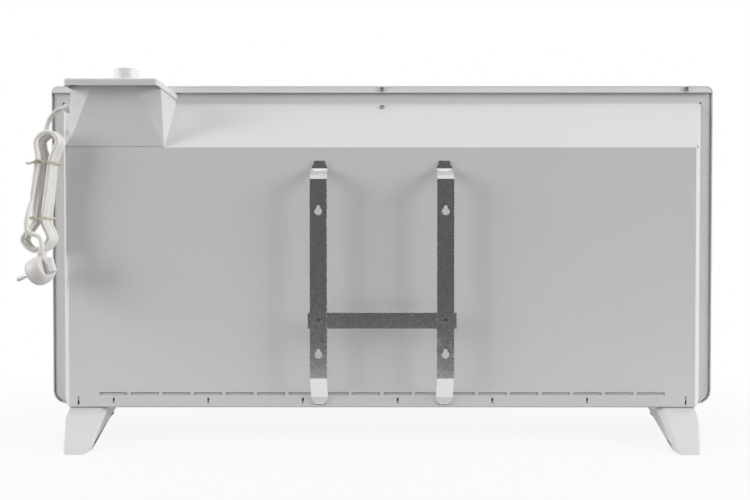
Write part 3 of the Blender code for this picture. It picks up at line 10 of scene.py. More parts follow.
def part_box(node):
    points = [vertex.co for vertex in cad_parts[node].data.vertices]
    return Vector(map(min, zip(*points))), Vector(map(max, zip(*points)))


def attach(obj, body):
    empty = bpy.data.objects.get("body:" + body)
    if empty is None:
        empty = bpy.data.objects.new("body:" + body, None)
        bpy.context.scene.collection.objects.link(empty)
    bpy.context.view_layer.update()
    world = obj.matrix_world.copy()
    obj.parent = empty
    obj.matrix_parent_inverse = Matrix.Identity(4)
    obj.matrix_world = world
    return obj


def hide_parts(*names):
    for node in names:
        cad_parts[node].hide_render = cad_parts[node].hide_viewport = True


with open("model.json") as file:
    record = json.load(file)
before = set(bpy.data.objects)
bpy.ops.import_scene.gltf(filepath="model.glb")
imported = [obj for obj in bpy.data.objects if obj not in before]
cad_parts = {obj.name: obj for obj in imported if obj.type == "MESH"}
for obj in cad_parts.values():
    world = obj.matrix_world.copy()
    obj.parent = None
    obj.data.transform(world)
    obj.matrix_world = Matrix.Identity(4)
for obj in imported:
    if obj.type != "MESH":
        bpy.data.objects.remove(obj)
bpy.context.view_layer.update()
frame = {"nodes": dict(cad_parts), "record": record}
bpy.ops.object.select_all(action="DESELECT")

# Places that the CAD solids give
PANEL_LOW, PANEL_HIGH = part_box("front_panel")
COVER_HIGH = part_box("rear_cover")[1]
KNOB_LOW, KNOB_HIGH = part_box("thermostat_knob")
GLAND_LOW, GLAND_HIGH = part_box("cord_gland")

# Sheet metal of the casing, in metres
GAP = 0.0003                   # clearance between neighbours
BACK_Y = COVER_HIGH.y
RIM_Y = PANEL_HIGH.y
FLANGE_Y = RIM_Y - 0.0080
WALL_HALF = 0.3965             # foot of the cover's side walls
SLOPE_Z = 0.4000               # upper end of the slope
KINK_Z = 0.3445                # fold between the slope and the back
KINK_IN = 0.0015               # how far that fold lies in front of the back
BACK_HALF = 0.3657
BACK_LOW_Z = 0.0401


class Wire:
    """A socket of a material; sums on it add the Math nodes."""

    def __init__(self, finish, socket):
        self.finish = finish
        self.socket = socket

    def math(self, operation, first, second):
        return self.finish.node("Math", {"operation": operation}, {0: first, 1: second})

    def __add__(self, other):
        return self.math("ADD", self, other)

    def __mul__(self, other):
        return self.math("MULTIPLY", self, other)

    def greater(self, other):
        return self.math("MAXIMUM", self, other)

    __radd__ = __add__
    __rmul__ = __mul__


class Finish:
    """One procedural material: constants on the shader's sockets, and nodes that vary."""

    def __init__(self, name, constants):
        self.material = bpy.data.materials.new(name)
        self.material.use_nodes = True
        self.tree = self.material.node_tree
        self.shader = self.tree.nodes["Principled BSDF"]
        for socket, value in constants.items():
            self.shader.inputs[socket].default_value = value

    @classmethod
    def of_tree(cls, tree):
        """The same node calls for the world."""
        sky = cls.__new__(cls)
        sky.tree = tree
        return sky

    def feed(self, socket, value):
        if isinstance(value, Wire):
            self.tree.links.new(value.socket, socket)
        else:
            socket.default_value = value

    def node(self, kind, settings=None, sockets=None, output=0):
        """Any node: its settings first, then the values or links of its sockets."""
        made = self.tree.nodes.new("ShaderNode" + kind)
        for setting, value in (settings or {}).items():
            setattr(made, setting, value)
        for socket, value in (sockets or {}).items():
            self.feed(made.inputs[socket], value)
        return Wire(self, made.outputs[output])

    def place(self, scale=(1.0, 1.0, 1.0), shift=(0.0, 0.0, 0.0)):
        """Object coordinates in metres, moved and scaled."""
        source = self.node("TexCoord", output=3)
        return self.node("Mapping", {}, {0: source, 1: shift, 3: scale})

    def noise(self, size, detail=2.0, place=None):
        """Soft noise whose blotches are about so many metres wide, from 0 to 1."""
        return self.node("TexNoise", {}, {"Vector": place or self.place(), "Scale": 1.0 / size,
                                          "Detail": detail})

    def cells(self, size):
        """A colour for each cell of about so many metres."""
        return self.node("TexVoronoi", {}, {"Vector": self.place(), "Scale": 1.0 / size}, 1)

    def span(self, value, low, high, to_low=0.0, to_high=1.0):
        """A smooth step from one value to another."""
        return self.node("MapRange", {"interpolation_type": "SMOOTHSTEP"},
                         {0: value, 1: low, 2: high, 3: to_low, 4: to_high})

    def axis(self, name):
        """One coordinate of the piece, in metres."""
        source = self.node("TexCoord", output=3)
        return self.node("SeparateXYZ", {}, {0: source}, "XYZ".index(name))

    def mix(self, share, first, second):
        """Between two colours."""
        return self.node("Mix", {"data_type": "RGBA"}, {0: share, 6: first, 7: second}, 2)

    def bump(self, height, depth, strength=1.0, over=None):
        sockets = {"Height": height, "Distance": depth, "Strength": strength}
        if over:
            sockets["Normal"] = over
        return self.node("Bump", {}, sockets)

    def set(self, **wires):
        """Link what varies: colour, roughness, metallic, coat or normal."""
        names = {"colour": "Base Color", "rough": "Roughness", "metal": "Metallic",
                 "coat": "Coat Weight", "normal": "Normal"}
        for word, wire in wires.items():
            self.feed(self.shader.inputs[names[word]], wire)
        return self.material


def grey(level, warm=0.0):
    """A near-neutral colour; warm is how much less blue than red it holds."""
    return (level * (1 + warm / 2), level, level * (1 - warm / 2), 1.0)


def powder_coat(name, level, warm=0.0, dusty=0.0):
    """Baked powder paint on sheet: orange peel, a slow drift of tone, a little dust below."""
    finish = Finish(name, {"IOR": 1.5, "Specular IOR Level": 0.45})
    drift = finish.noise(0.16, 3.0)
    grain = finish.noise(0.0011, 2.0)
    peel = finish.noise(0.0045, 3.0)
    dust = finish.span(finish.axis("Z"), 0.10, 0.03) * finish.noise(0.03, 5.0) * dusty
    clean = finish.mix(drift, grey(level * 0.975, warm), grey(level * 1.02, warm))
    colour = finish.mix(dust, clean, (0.52, 0.48, 0.42, 1.0))
    normal = finish.bump(grain, 0.00006, 0.5, finish.bump(peel, 0.00022, 0.35))
    return finish.set(colour=colour, rough=0.36 + grain * 0.10 + drift * 0.05, normal=normal)


def moulded_plastic(name, level, warm, rough=0.38, tint=(1.0, 1.0, 1.0)):
    """Moulded plastic: spark-eroded grain, faint flow marks and a slight drift of tone."""
    finish = Finish(name, {"IOR": 1.46, "Subsurface Weight": 0.03,
                           "Subsurface Radius": (0.004, 0.003, 0.002)})
    drift = finish.noise(0.05, 3.0)
    grain = finish.noise(0.0006, 2.0)
    flow = finish.noise(0.02, 4.0, finish.place((0.3, 1.0, 1.0)))
    red, green, blue, alpha = grey(level, warm)
    base = (red * tint[0], green * tint[1], blue * tint[2], alpha)
    deep = tuple(part * 0.955 for part in base[:3]) + (1.0,)
    normal = finish.bump(grain, 0.00005, 0.6, finish.bump(flow, 0.0003, 0.12))
    return finish.set(colour=finish.mix(drift, deep, base), rough=rough - 0.05 + grain * 0.12,
                      normal=normal)


def galvanised(name, level):
    """Hot-dip zinc: spangle cells of unlike tone, fine rolling marks and patches of bloom."""
    finish = Finish(name, {"Metallic": 1.0})
    spangle = finish.node("SeparateColor", {}, {0: finish.cells(0.0022)})
    fine = finish.node("SeparateColor", {}, {0: finish.cells(0.0011)}, 1)
    rolled = finish.noise(0.002, 3.0, finish.place((1.0, 1.0, 0.06)))
    bloom = finish.span(finish.noise(0.012, 5.0), 0.62, 0.80)
    dark = grey(level * 0.95, -0.01)
    tone = finish.mix(spangle * 0.5 + fine * 0.5, dark, grey(level * 1.05, -0.02))
    colour = finish.mix(bloom * 0.15, tone, grey(level * 1.2))
    rough = 0.19 + spangle * 0.04 + fine * 0.05 + bloom * 0.08 + rolled * 0.05
    normal = finish.bump(rolled, 0.00003, 0.3)
    return finish.set(colour=colour, rough=rough, normal=normal)


def nickel(name):
    """Nickel plate: fine marks and faint tarnish."""
    finish = Finish(name, {"Metallic": 1.0})
    tarnish = finish.noise(0.004, 4.0)
    fine = finish.noise(0.0003, 2.0)
    colour = finish.mix(tarnish, (0.34, 0.33, 0.31, 1.0), (0.50, 0.49, 0.47, 1.0))
    return finish.set(colour=colour, rough=0.18 + fine * 0.16 + tarnish * 0.06,
                      normal=finish.bump(fine, 0.00003, 0.4))


def pvc_jacket(name):
    """Soft PVC of a mains lead: satin skin, die lines and handling marks."""
    finish = Finish(name, {"IOR": 1.52, "Coat Roughness": 0.32})
    handling = finish.noise(0.018, 4.0)
    skin = finish.noise(0.0007, 3.0)
    worn = finish.span(handling, 0.55, 0.78)
    colour = finish.mix(handling, (0.76, 0.735, 0.70, 1.0), (0.88, 0.86, 0.825, 1.0))
    colour = finish.mix(worn * 0.25, colour, (0.58, 0.55, 0.50, 1.0))
    return finish.set(colour=colour, rough=0.40 + skin * 0.14, coat=0.12 + worn * 0.10,
                      normal=finish.bump(skin, 0.00005, 0.6))


def element_aluminium(name):
    """Pressed aluminium fins: bright with rolling marks across them."""
    finish = Finish(name, {"Metallic": 1.0})
    rolled = finish.noise(0.0012, 3.0, finish.place((0.1, 1.0, 1.0)))
    blotch = finish.noise(0.03, 3.0)
    return finish.set(colour=finish.mix(blotch, grey(0.62), grey(0.74)),
                      rough=0.28 + rolled * 0.20, normal=finish.bump(rolled, 0.00005, 0.5))


def plain_plastic(name, dark, light, size=0.004, rough=0.38, spread=0.14, depth=0.00008):
    """Mottled plastic: insulation of an inner wire, coating of a tie, or a black moulding."""
    finish = Finish(name, {"IOR": 1.5})
    mottle = finish.noise(size, 3.0)
    return finish.set(colour=finish.mix(mottle, (*dark, 1.0), (*light, 1.0)),
                      rough=rough + mottle * spread, normal=finish.bump(mottle, depth, 0.4))


KNOB_WHITE = moulded_plastic("moulded knob", 0.82, 0.04, 0.34)
SLOT_FINISHES = {
    "painted_steel": powder_coat("powder coat on the casing", 0.70, 0.004, 0.10),
    "grille_enamel": powder_coat("powder coat on the outlet", 0.66),
    "white_plastic": moulded_plastic("moulded feet", 0.69, 0.015),
    "plug_plastic": moulded_plastic("moulded plug", 0.74, 0.03, 0.42, (1.0, 0.98, 0.97)),
    "galvanised_steel": galvanised("galvanised steel", 0.76),
    "plated_steel": nickel("nickel plate"),
    "cord_jacket": pvc_jacket("cord jacket"),
    "aluminium": element_aluminium("aluminium fins"),
    "tie_plastic": plain_plastic("tie wire", (0.60, 0.54, 0.42), (0.74, 0.69, 0.57),
                                 0.003, 0.42, 0.10, 0.0001),
    "dark_plastic": plain_plastic("black moulding", (0.018, 0.018, 0.019), (0.030, 0.030, 0.032)),
    "brown_wire": plain_plastic("brown insulation", (0.16, 0.065, 0.025), (0.22, 0.09, 0.04)),
    "blue_wire": plain_plastic("blue insulation", (0.02, 0.08, 0.28), (0.03, 0.12, 0.38))}


def paint(piece, finish):
    piece.data.materials.clear()
    piece.data.materials.append(finish)


def paint_cad_nodes():
    """Every CAD node that stays takes the finish of its slot."""
    for part in frame["record"]["subparts"]:
        paint(frame["nodes"][part["node"]], SLOT_FINISHES[part["material_slot"]])


def linked(name, data):
    """A new object in the scene."""
    piece = bpy.data.objects.new(name, data)
    bpy.context.scene.collection.objects.link(piece)
    return piece


# Camera, fitted to the photograph's edges
FOCAL_PIXELS = 771.1
IMAGE_WIDTH = 750
IMAGE_HEIGHT = 500
CENTRE_PIXEL = (379.7, 266.4)
CAMERA_PLACE = (0.0012, 0.9401, 0.2194)
CAMERA_DOWN = 0.0162
CAMERA_YAW = 0.0016
SENSOR = 36.0


def make_camera():
    data = bpy.data.cameras.new("camera")
    data.sensor_width = SENSOR
    data.lens = FOCAL_PIXELS * SENSOR / IMAGE_WIDTH
    data.shift_x = (IMAGE_WIDTH / 2 - CENTRE_PIXEL[0]) / IMAGE_WIDTH
    data.shift_y = (CENTRE_PIXEL[1] - IMAGE_HEIGHT / 2) / IMAGE_WIDTH
    data.clip_start = 0.05
    data.clip_end = 60.0
    camera = linked("camera", data)
    camera.location = CAMERA_PLACE
    camera.rotation_euler = (math.pi / 2 - CAMERA_DOWN, 0, math.pi + CAMERA_YAW)
    bpy.context.scene.camera = camera


# Mains lead: the routes of part.py, in metres
CORD_RADIUS = 0.0027
HANK_MIDDLE = Vector((0.38805, 0.0530, 0.2905))
HANK_HALF_LENGTH = 0.0680
HANK_LEAN = math.radians(7.0)
HANK_LOOPS = 4
HANK_LOOP_POINTS = 24
HANK_PITCH = 0.0060
HANK_WAIST = 0.0092
HANK_TOP_FOLD = 0.0128
HANK_LOW_FOLD = 0.0165
FOLD_STEP_SHARE = 0.40
CLIMB_SHARE = 0.25
WAIST_SHARE = 0.64
HANK_START_TURN = 0.125
BESIDE_LAYERS = 1.25
LEAD_POINTS = ((-0.0048, 0.0000, 0.1000), (0.0015, 0.0012, 0.0951), (0.0062, 0.0040, 0.0862),
               (0.0082, 0.0070, 0.0740), (0.0078, 0.0110, 0.0610))
PLUG_MIDDLE = Vector((0.38505, 0.0680, 0.2000))
PLUG_RADIUS = 0.0175
PLUG_NECK_LENGTH = 0.0050


def smooth(share):
    """A smooth step from 0 to 1."""
    share = min(max(share, 0.0), 1.0)
    return share * share * (3 - 2 * share)


def beside(across, along, layers):
    """A place in the hank's own frame, or beside it."""
    lean = along * math.tan(HANK_LEAN)
    return HANK_MIDDLE + Vector((across - lean, HANK_PITCH * layers, along))


def hank_point(turn):
    """Middle of the cord after so many loops: an oval drawn in at its waist, one layer a loop."""
    phase = turn % 1.0
    since = turn - HANK_START_TURN
    loop = math.floor(since + 0.5)
    swing = abs(since - 2 * math.floor(since / 2 + 0.5))
    layer = loop - 1 + smooth((since - loop) / CLIMB_SHARE + 0.5)
    layer = min(max(layer, 0.0), HANK_LOOPS - 1.0)
    fold_step = HANK_PITCH * FOLD_STEP_SHARE * swing
    top_fold = HANK_TOP_FOLD - fold_step
    low_fold = HANK_LOW_FOLD - fold_step
    top_z = HANK_HALF_LENGTH - HANK_TOP_FOLD
    low_z = -HANK_HALF_LENGTH + HANK_LOW_FOLD
    if 0.25 <= phase < 0.5:
        angle = math.pi * (phase - 0.25) / 0.25
        across = low_fold * math.cos(angle)
        along = low_z - low_fold * math.sin(angle)
    elif phase >= 0.75:
        angle = math.pi * (phase - 0.75) / 0.25
        across = -top_fold * math.cos(angle)
        along = top_z + top_fold * math.sin(angle)
    else:
        down = phase < 0.25
        share = phase / 0.25 if down else 1.0 - (phase - 0.5) / 0.25
        along = top_z + (low_z - top_z) * share
        fold = top_fold + (low_fold - top_fold) * share
        waist = HANK_WAIST - HANK_PITCH * swing
        ease = smooth((abs(2 * share - 1.0) - WAIST_SHARE) / (1.0 - WAIST_SHARE))
        across = (waist + (fold - waist) * ease) * (1 if down else -1)
    return beside(across, along, layer - (HANK_LOOPS - 1) / 2)


def lead_route():
    """From the gland out, over and down into the waist of the hank."""
    exit_y = (GLAND_LOW.y + GLAND_HIGH.y) / 2
    exit_z = (GLAND_LOW.z + GLAND_HIGH.z) / 2
    first = -(HANK_LOOPS - 1) / 2
    points = [Vector((GLAND_HIGH.x + GAP, exit_y, exit_z))]
    points += [Vector((HANK_MIDDLE.x + x, exit_y + y, HANK_MIDDLE.z + z))
               for x, y, z in LEAD_POINTS]
    points += [beside(0.0115, 0.0480, first - BESIDE_LAYERS),
               beside(HANK_WAIST, 0.0330, first - BESIDE_LAYERS),
               beside(HANK_WAIST, 0.0205, first - 0.70), beside(HANK_WAIST, 0.0100, first - 0.05)]
    return points


def hank_route():
    count = HANK_LOOPS * HANK_LOOP_POINTS
    return [hank_point(HANK_START_TURN + HANK_LOOPS * index / count) for index in range(count + 1)]


def tail_route():
    """From the hank's waist down past its fold into the plug's neck."""
    last = (HANK_LOOPS - 1) / 2
    neck = PLUG_MIDDLE + Vector((0, 0, PLUG_RADIUS + PLUG_NECK_LENGTH))
    return [beside(HANK_WAIST, -0.0100, last + 0.05), beside(HANK_WAIST, -0.0195, last + 0.70),
            beside(HANK_WAIST, -0.0310, last + BESIDE_LAYERS),
            beside(0.0070, -0.0450, last + BESIDE_LAYERS),
            neck + Vector((0.0030, 0, 0.0160)), neck + Vector((0, 0, 0.0060)),
            neck + Vector((0, 0, GAP))]


def smooth_route(points, count):
    """Read points at even steps along a smooth curve through the route's own points."""
    dense = []
    for index in range(len(points) - 1):
        before = points[max(index - 1, 0)]
        start = points[index]
        end = points[index + 1]
        after = points[min(index + 2, len(points) - 1)]
        for step in range(16):
            t = step / 16
            dense.append(0.5 * (2 * start + (end - before) * t
                                + (2 * before - 5 * start + 4 * end - after) * t ** 2
                                + (3 * start - before - 3 * end + after) * t ** 3))
    dense.append(points[-1])
    travelled = [0.0]
    for first, second in zip(dense, dense[1:]):
        travelled.append(travelled[-1] + (second - first).length)
    even = []
    index = 0
    for step in range(count):
        goal = travelled[-1] * step / (count - 1)
        while index < len(dense) - 2 and travelled[index + 1] < goal:
            index += 1
        share = (goal - travelled[index]) / (travelled[index + 1] - travelled[index])
        even.append(dense[index].lerp(dense[index + 1], min(max(share, 0.0), 1.0)))
    return even


def cord_curve(name, points):
    """A round cord along its points."""
    curve = bpy.data.curves.new(name, "CURVE")
    curve.dimensions = "3D"
    curve.bevel_depth = CORD_RADIUS
    curve.bevel_resolution = 8
    curve.use_fill_caps = True
    spline = curve.splines.new("POLY")
    spline.points.add(len(points) - 1)
    for slot, point in zip(spline.points, points):
        slot.co = (*point, 1.0)
    curve.materials.append(SLOT_FINISHES["cord_jacket"])
    return linked(name, curve)


# Shaping, as by hand
def only(piece):
    """Select one piece and make it the active one."""
    bpy.ops.object.select_all(action="DESELECT")
    piece.select_set(True)
    bpy.context.view_layer.objects.active = piece


def mode(name):
    bpy.ops.object.mode_set(mode=name)


def edit_all(piece):
    """Edit mode, with all of one piece selected."""
    only(piece)
    mode("EDIT")
    bpy.ops.mesh.select_all(action="SELECT")


def settle(piece, name, finish, rounded=35):
    """Apply the place, name the piece, give it its finish and its shading."""
    only(piece)
    bpy.ops.object.transform_apply(location=True, rotation=True, scale=True)
    piece.name = name
    piece.data.name = name
    paint(piece, finish)
    bpy.ops.object.shade_smooth_by_angle(angle=math.radians(rounded))


def modified(piece, kind, **settings):
    """Apply a modifier with its settings."""
    only(piece)
    modifier = piece.modifiers.new(kind, kind)
    for setting, value in settings.items():
        setattr(modifier, setting, value)
    bpy.ops.object.modifier_apply(modifier=modifier.name)
    return piece


def bevel(piece, width, segments=3, angle=30):
    """Round the edges sharper than an angle or, without one, each by its weight."""
    return modified(piece, "BEVEL", width=width, segments=segments,
                    limit_method="ANGLE" if angle else "WEIGHT",
                    angle_limit=math.radians(angle or 0), use_clamp_overlap=bool(angle))


def hand_over(piece, body, slot, *nodes):
    """Attach a piece to the body it rides on and hide the CAD nodes that it stands for; its slot
    is not used.
    """
    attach(piece, body)
    if nodes:
        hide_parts(*nodes)
    return piece


def deliver(piece, name, body, slot, *nodes, rounded=40, flat=False, finish=None):
    """Settle and hand over a piece; flat ones are shaded by the size of their faces."""
    settle(piece, name, finish or SLOT_FINISHES[slot], rounded)
    if flat:
        modified(piece, "WEIGHTED_NORMAL", keep_sharp=True)
    return hand_over(piece, body, slot, *nodes)


def refined(node, body, slot, width, segments=3, rounded=35, shape=None):
    """A merged copy of a CAD solid, shaped where asked, with its cut edges rounded over."""
    mesh = frame["nodes"][node].data.copy()
    piece = linked(node + "_dressed", mesh)
    edit_all(piece)
    bpy.ops.mesh.remove_doubles(threshold=0.00001)
    bpy.ops.mesh.dissolve_limited(angle_limit=math.radians(0.5))
    mode("OBJECT")
    if shape:
        shape(piece)
    sharp = mesh.attributes.get("sharp_edge")
    if sharp:
        mesh.attributes.remove(sharp)
    bevel(piece, width, segments)
    return deliver(piece, node + "_dressed", body, slot, node, rounded=rounded, flat=True)


def cylinder(radius, low, high, sides=48):
    """A round blank along Z, standing on the origin's axis."""
    bpy.ops.mesh.primitive_cylinder_add(vertices=sides, radius=radius, depth=high - low,
                                        location=(0, 0, (low + high) / 2))
    bpy.ops.object.transform_apply(location=True)
    return bpy.context.object


def block(size, middle):
    """A square blank about a middle."""
    bpy.ops.mesh.primitive_cube_add(size=1.0, location=middle)
    bpy.ops.transform.resize(value=size)
    bpy.ops.object.transform_apply(location=True, scale=True)
    return bpy.context.object


def pick_end(piece, side=1):
    """Select the faces that look up, or down with side -1, in edit mode."""
    mode("EDIT")
    bpy.ops.mesh.select_all(action="DESELECT")
    mode("OBJECT")
    for face in piece.data.polygons:
        face.select = side * face.normal.z > 0.9
    mode("EDIT")
    bpy.ops.mesh.select_mode(type="FACE")


def stepped(piece, *steps):
    """Draw the upper end in by a width and move it by a rise, step after step."""
    pick_end(piece)
    for width, rise in steps:
        bpy.ops.mesh.inset(thickness=width)
        if rise:
            bpy.ops.transform.translate(value=(0, 0, rise))
    mode("OBJECT")
    return piece


def narrowed(piece, share_x, share_y, side=1):
    """Scale one end of a blank."""
    pick_end(piece, side)
    bpy.ops.transform.resize(value=(share_x, share_y, 1))
    mode("OBJECT")
    return piece


def draw_out(reach, steps):
    """Extrude the picked end along Z, by steps of a rise and a new radius."""
    for rise, radius in steps:
        bpy.ops.mesh.extrude_region_move(TRANSFORM_OT_translate={"value": (0, 0, rise)})
        bpy.ops.transform.resize(value=(radius / reach, radius / reach, 1))
        reach = radius


def bisected(piece, normal, *places):
    """Cut the faces of a piece along planes that share a normal."""
    only(piece)
    mode("EDIT")
    for place in places:
        bpy.ops.mesh.select_all(action="SELECT")
        bpy.ops.mesh.bisect(plane_co=place, plane_no=normal)
    mode("OBJECT")


def mesh_piece(name, verts, faces):
    """A piece of its own points and faces."""
    mesh = bpy.data.meshes.new(name)
    mesh.from_pydata([tuple(vert) for vert in verts], [], faces)
    return linked(name, mesh)


def face_outwards(piece):
    edit_all(piece)
    bpy.ops.mesh.normals_make_consistent(inside=False)
    mode("OBJECT")
    return piece


def joined(first, *others):
    """One piece of several, under the first one's name."""
    only(first)
    for other in others:
        other.select_set(True)
    bpy.ops.object.join()
    return first


def carve(piece, cutter):
    """Cut one piece out of another."""
    modified(piece, "BOOLEAN", operation="DIFFERENCE", solver="EXACT", object=cutter)
    bpy.data.objects.remove(cutter, do_unlink=True)


def stand(piece, seat, direction, turn=0.0):
    """Place a piece made along Z at a seat, facing a direction."""
    aim = Vector(direction).to_track_quat("Z", "Y").to_matrix().to_4x4()
    piece.data.transform(Matrix.Translation(Vector(seat)) @ aim @ Matrix.Rotation(turn, 4, "Z"))
    return piece


# Screws and rivets
SCREW_HEAD = 0.0033
SCREW_RISE = 0.0018
SCREW_CROWN_SHARE = 0.22       # of the head's radius
SCREW_CROWN_RISE = 0.00012
SCREW_ROUND = 0.00055
SHANK_RADIUS = 0.0019
SHANK_LENGTH = 0.0075
JOIN_OVERLAP = 0.0001          # how far joined blanks overlap
CROSS_HALF = 0.0021
CROSS_WING = 0.00045
CROSS_DEEP = 0.0011
SLOPE_SCREW_DOWN = 0.0095      # from the slope's upper end
SCREW_TURNS = {"lip_screw_1": 0.3, "lip_screw_2": 1.1, "lip_screw_3": 0.75, "slope_screw": 0.5,
               "foot_screw_left_1": 0.2, "foot_screw_left_2": 0.9,
               "foot_screw_right_1": 1.3, "foot_screw_right_2": 0.6}
RIVET_RINGS = ((0.28, -0.00018), (0.12, 0.00014))      # share of the radius, and rise
RIVET_ROUND = 0.00035


def pan_head_screw():
    """A pan head with a crowned top, a cross recess and a plain shank."""
    head = cylinder(SCREW_HEAD, 0.0, SCREW_RISE, 40)
    stepped(head, (SCREW_HEAD * SCREW_CROWN_SHARE, SCREW_CROWN_RISE))
    bevel(head, SCREW_ROUND, 4, 60)
    for quarter in (0.0, math.pi / 2):
        wing = block((2 * CROSS_HALF, 2 * CROSS_WING, 2 * CROSS_DEEP), (0, 0, SCREW_RISE))
        wing.data.transform(Matrix.Rotation(quarter, 4, "Z"))
        carve(head, wing)
    return joined(head, cylinder(SHANK_RADIUS, -SHANK_LENGTH, JOIN_OVERLAP, 24))


def make_screws():
    """The same screw at every place, each turned a little differently."""
    pattern = pan_head_screw()
    flange_y = FLANGE_Y + FLANGE_BACK
    slope_z = SLOPE_Z + SLOPE_UP
    slope = Vector((0, slope_z - KINK_Z, BACK_Y - KINK_IN - flange_y)).normalized()
    for node, turn in SCREW_TURNS.items():
        low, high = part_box(node)
        middle = (low + high) / 2
        screw = linked(node + "_cross", pattern.data.copy())
        if node == "slope_screw":
            along = Vector((0, slope.z, -slope.y))
            seat = Vector((0, flange_y, slope_z)) + along * SLOPE_SCREW_DOWN + slope * GAP
            stand(screw, seat, slope, turn)
        elif node.startswith("lip"):
            seat_y = high.y - SCREW_RISE + LIP_LEAN * (PANEL_HIGH.z - middle.z)
            stand(screw, (middle.x, seat_y, middle.z), (0, 1, LIP_LEAN), turn)
        else:
            stand(screw, (middle.x, middle.y, low.z + SCREW_RISE), (0, 0, -1), turn)
        deliver(screw, node + "_cross", "casing", "plated_steel", node)
    bpy.data.objects.remove(pattern, do_unlink=True)


def make_rivets():
    """Flush rivets with a fine ring round the head and a domed tail."""
    for node in ("bracket_rivet_left", "bracket_rivet_right"):
        low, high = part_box(node)
        middle = (low + high) / 2
        radius = (high.x - low.x) / 2
        rivet = cylinder(radius, 0.0, high.y - low.y, 40)
        stepped(rivet, *((radius * share, rise) for share, rise in RIVET_RINGS))
        bevel(rivet, RIVET_ROUND, 3, 50)
        stand(rivet, (middle.x, low.y, middle.z), (0, 1, 0))
        deliver(rivet, node + "_turned", "wall_bracket", "plated_steel", node)


# Knob
KNOB_HEIGHT_SHARE = 0.97       # of the solid's height
KNOB_TOP_RINGS = ((0.16, 0.0), (0.10, -0.0007), (0.20, -0.0002))       # as the rivets' rings
KNOB_FLUTES = 30
KNOB_FLUTE_DEPTH = 0.0002
KNOB_FLUTE_FADE = 0.45         # of that depth, near the top
KNOB_SKIRT = 0.0018            # height of the skirt
KNOB_SKIRT_STEP = 0.0004
KNOB_DRAFT = 0.0007            # how much narrower than the skirt the cap is
KNOB_TAPER = 0.0005            # and how much more at its top
KNOB_TOP_ROUND = 0.0018
KNOB_TURN = math.radians(-40)
POINTER_WIDE = 0.0011
POINTER_HIGH = 0.0010
POINTER_SUNK = 0.00055
POINTER_ROUND = 0.00025


def knob_reach(point, radius, height):
    """How far out the knob's side lies at a point."""
    if point.z > height - 0.0005:
        return radius - KNOB_TOP_ROUND
    if point.z > KNOB_SKIRT + 0.0005:
        angle = math.atan2(point.y, point.x)
        draft = KNOB_DRAFT + KNOB_TAPER * (point.z - KNOB_SKIRT) / height
        flute = KNOB_FLUTE_DEPTH * (0.5 - 0.5 * math.cos(KNOB_FLUTES * angle)) ** 0.6
        fade = 1.0 if point.z < height - 0.0015 else KNOB_FLUTE_FADE
        return radius - draft - flute * fade
    return radius - KNOB_SKIRT_STEP if point.z > KNOB_SKIRT * 0.9 else radius


def make_knob():
    """A fluted cap with a skirt, a dished top and a raised pointer."""
    middle = (KNOB_LOW + KNOB_HIGH) / 2
    radius = (KNOB_HIGH.x - KNOB_LOW.x) / 2
    height = (KNOB_HIGH.z - KNOB_LOW.z) * KNOB_HEIGHT_SHARE
    knob = cylinder(radius, 0.0, height, 180)
    stepped(knob, *((radius * share, rise) for share, rise in KNOB_TOP_RINGS))
    levels = (KNOB_SKIRT * 0.75, KNOB_SKIRT, KNOB_SKIRT + 0.0010,
              height * 0.5, height - 0.0022, height - 0.0009)
    bisected(knob, (0, 0, 1), *((0, 0, level) for level in levels))
    for vertex in knob.data.vertices:
        reach = math.hypot(vertex.co.x, vertex.co.y)
        if reach >= radius * 0.95:
            goal = knob_reach(vertex.co, radius, height)
            vertex.co.x *= goal / reach
            vertex.co.y *= goal / reach
    pointer = block((POINTER_WIDE, radius * 0.46, POINTER_HIGH),
                    (0, radius * 0.50, height - POINTER_SUNK))
    joined(knob, bevel(pointer, POINTER_ROUND, 2))
    stand(knob, (middle.x, middle.y, KNOB_LOW.z), (0, 0, 1), KNOB_TURN)
    deliver(knob, "fluted_knob", "control_knob", "white_plastic", "thermostat_knob",
            rounded=30, flat=True, finish=KNOB_WHITE)


# Gland
GLAND_FLANGE = 0.0025
GLAND_SLEEVE = 0.0060          # radius of its sleeve
GLAND_STEPS = ((0.0032, 0.0060), (0.0004, 0.0049), (0.0012, 0.0055), (0.0004, 0.0047),
               (0.0012, 0.0052), (0.0004, 0.0044), (0.0014, 0.0048))
GLAND_ROUND = 0.00022


def make_gland():
    """A flange on the wall and a ribbed sleeve that narrows towards the cord."""
    low, high = GLAND_LOW, GLAND_HIGH
    flange = (high.z - low.z) / 2
    gland = cylinder(flange, 0.0, GLAND_FLANGE)
    pick_end(gland)
    bpy.ops.mesh.inset(thickness=flange - GLAND_SLEEVE)
    draw_out(GLAND_SLEEVE, GLAND_STEPS)
    mode("OBJECT")
    bevel(gland, GLAND_ROUND, 2, 40)
    top = max(vertex.co.z for vertex in gland.data.vertices)
    gland.data.transform(Matrix.Diagonal((1, 1, (high.x - low.x) / top, 1)))
    stand(gland, (low.x, (low.y + high.y) / 2, (low.z + high.z) / 2), (1, 0, 0))
    deliver(gland, "ribbed_gland", "casing", "plug_plastic", "cord_gland")


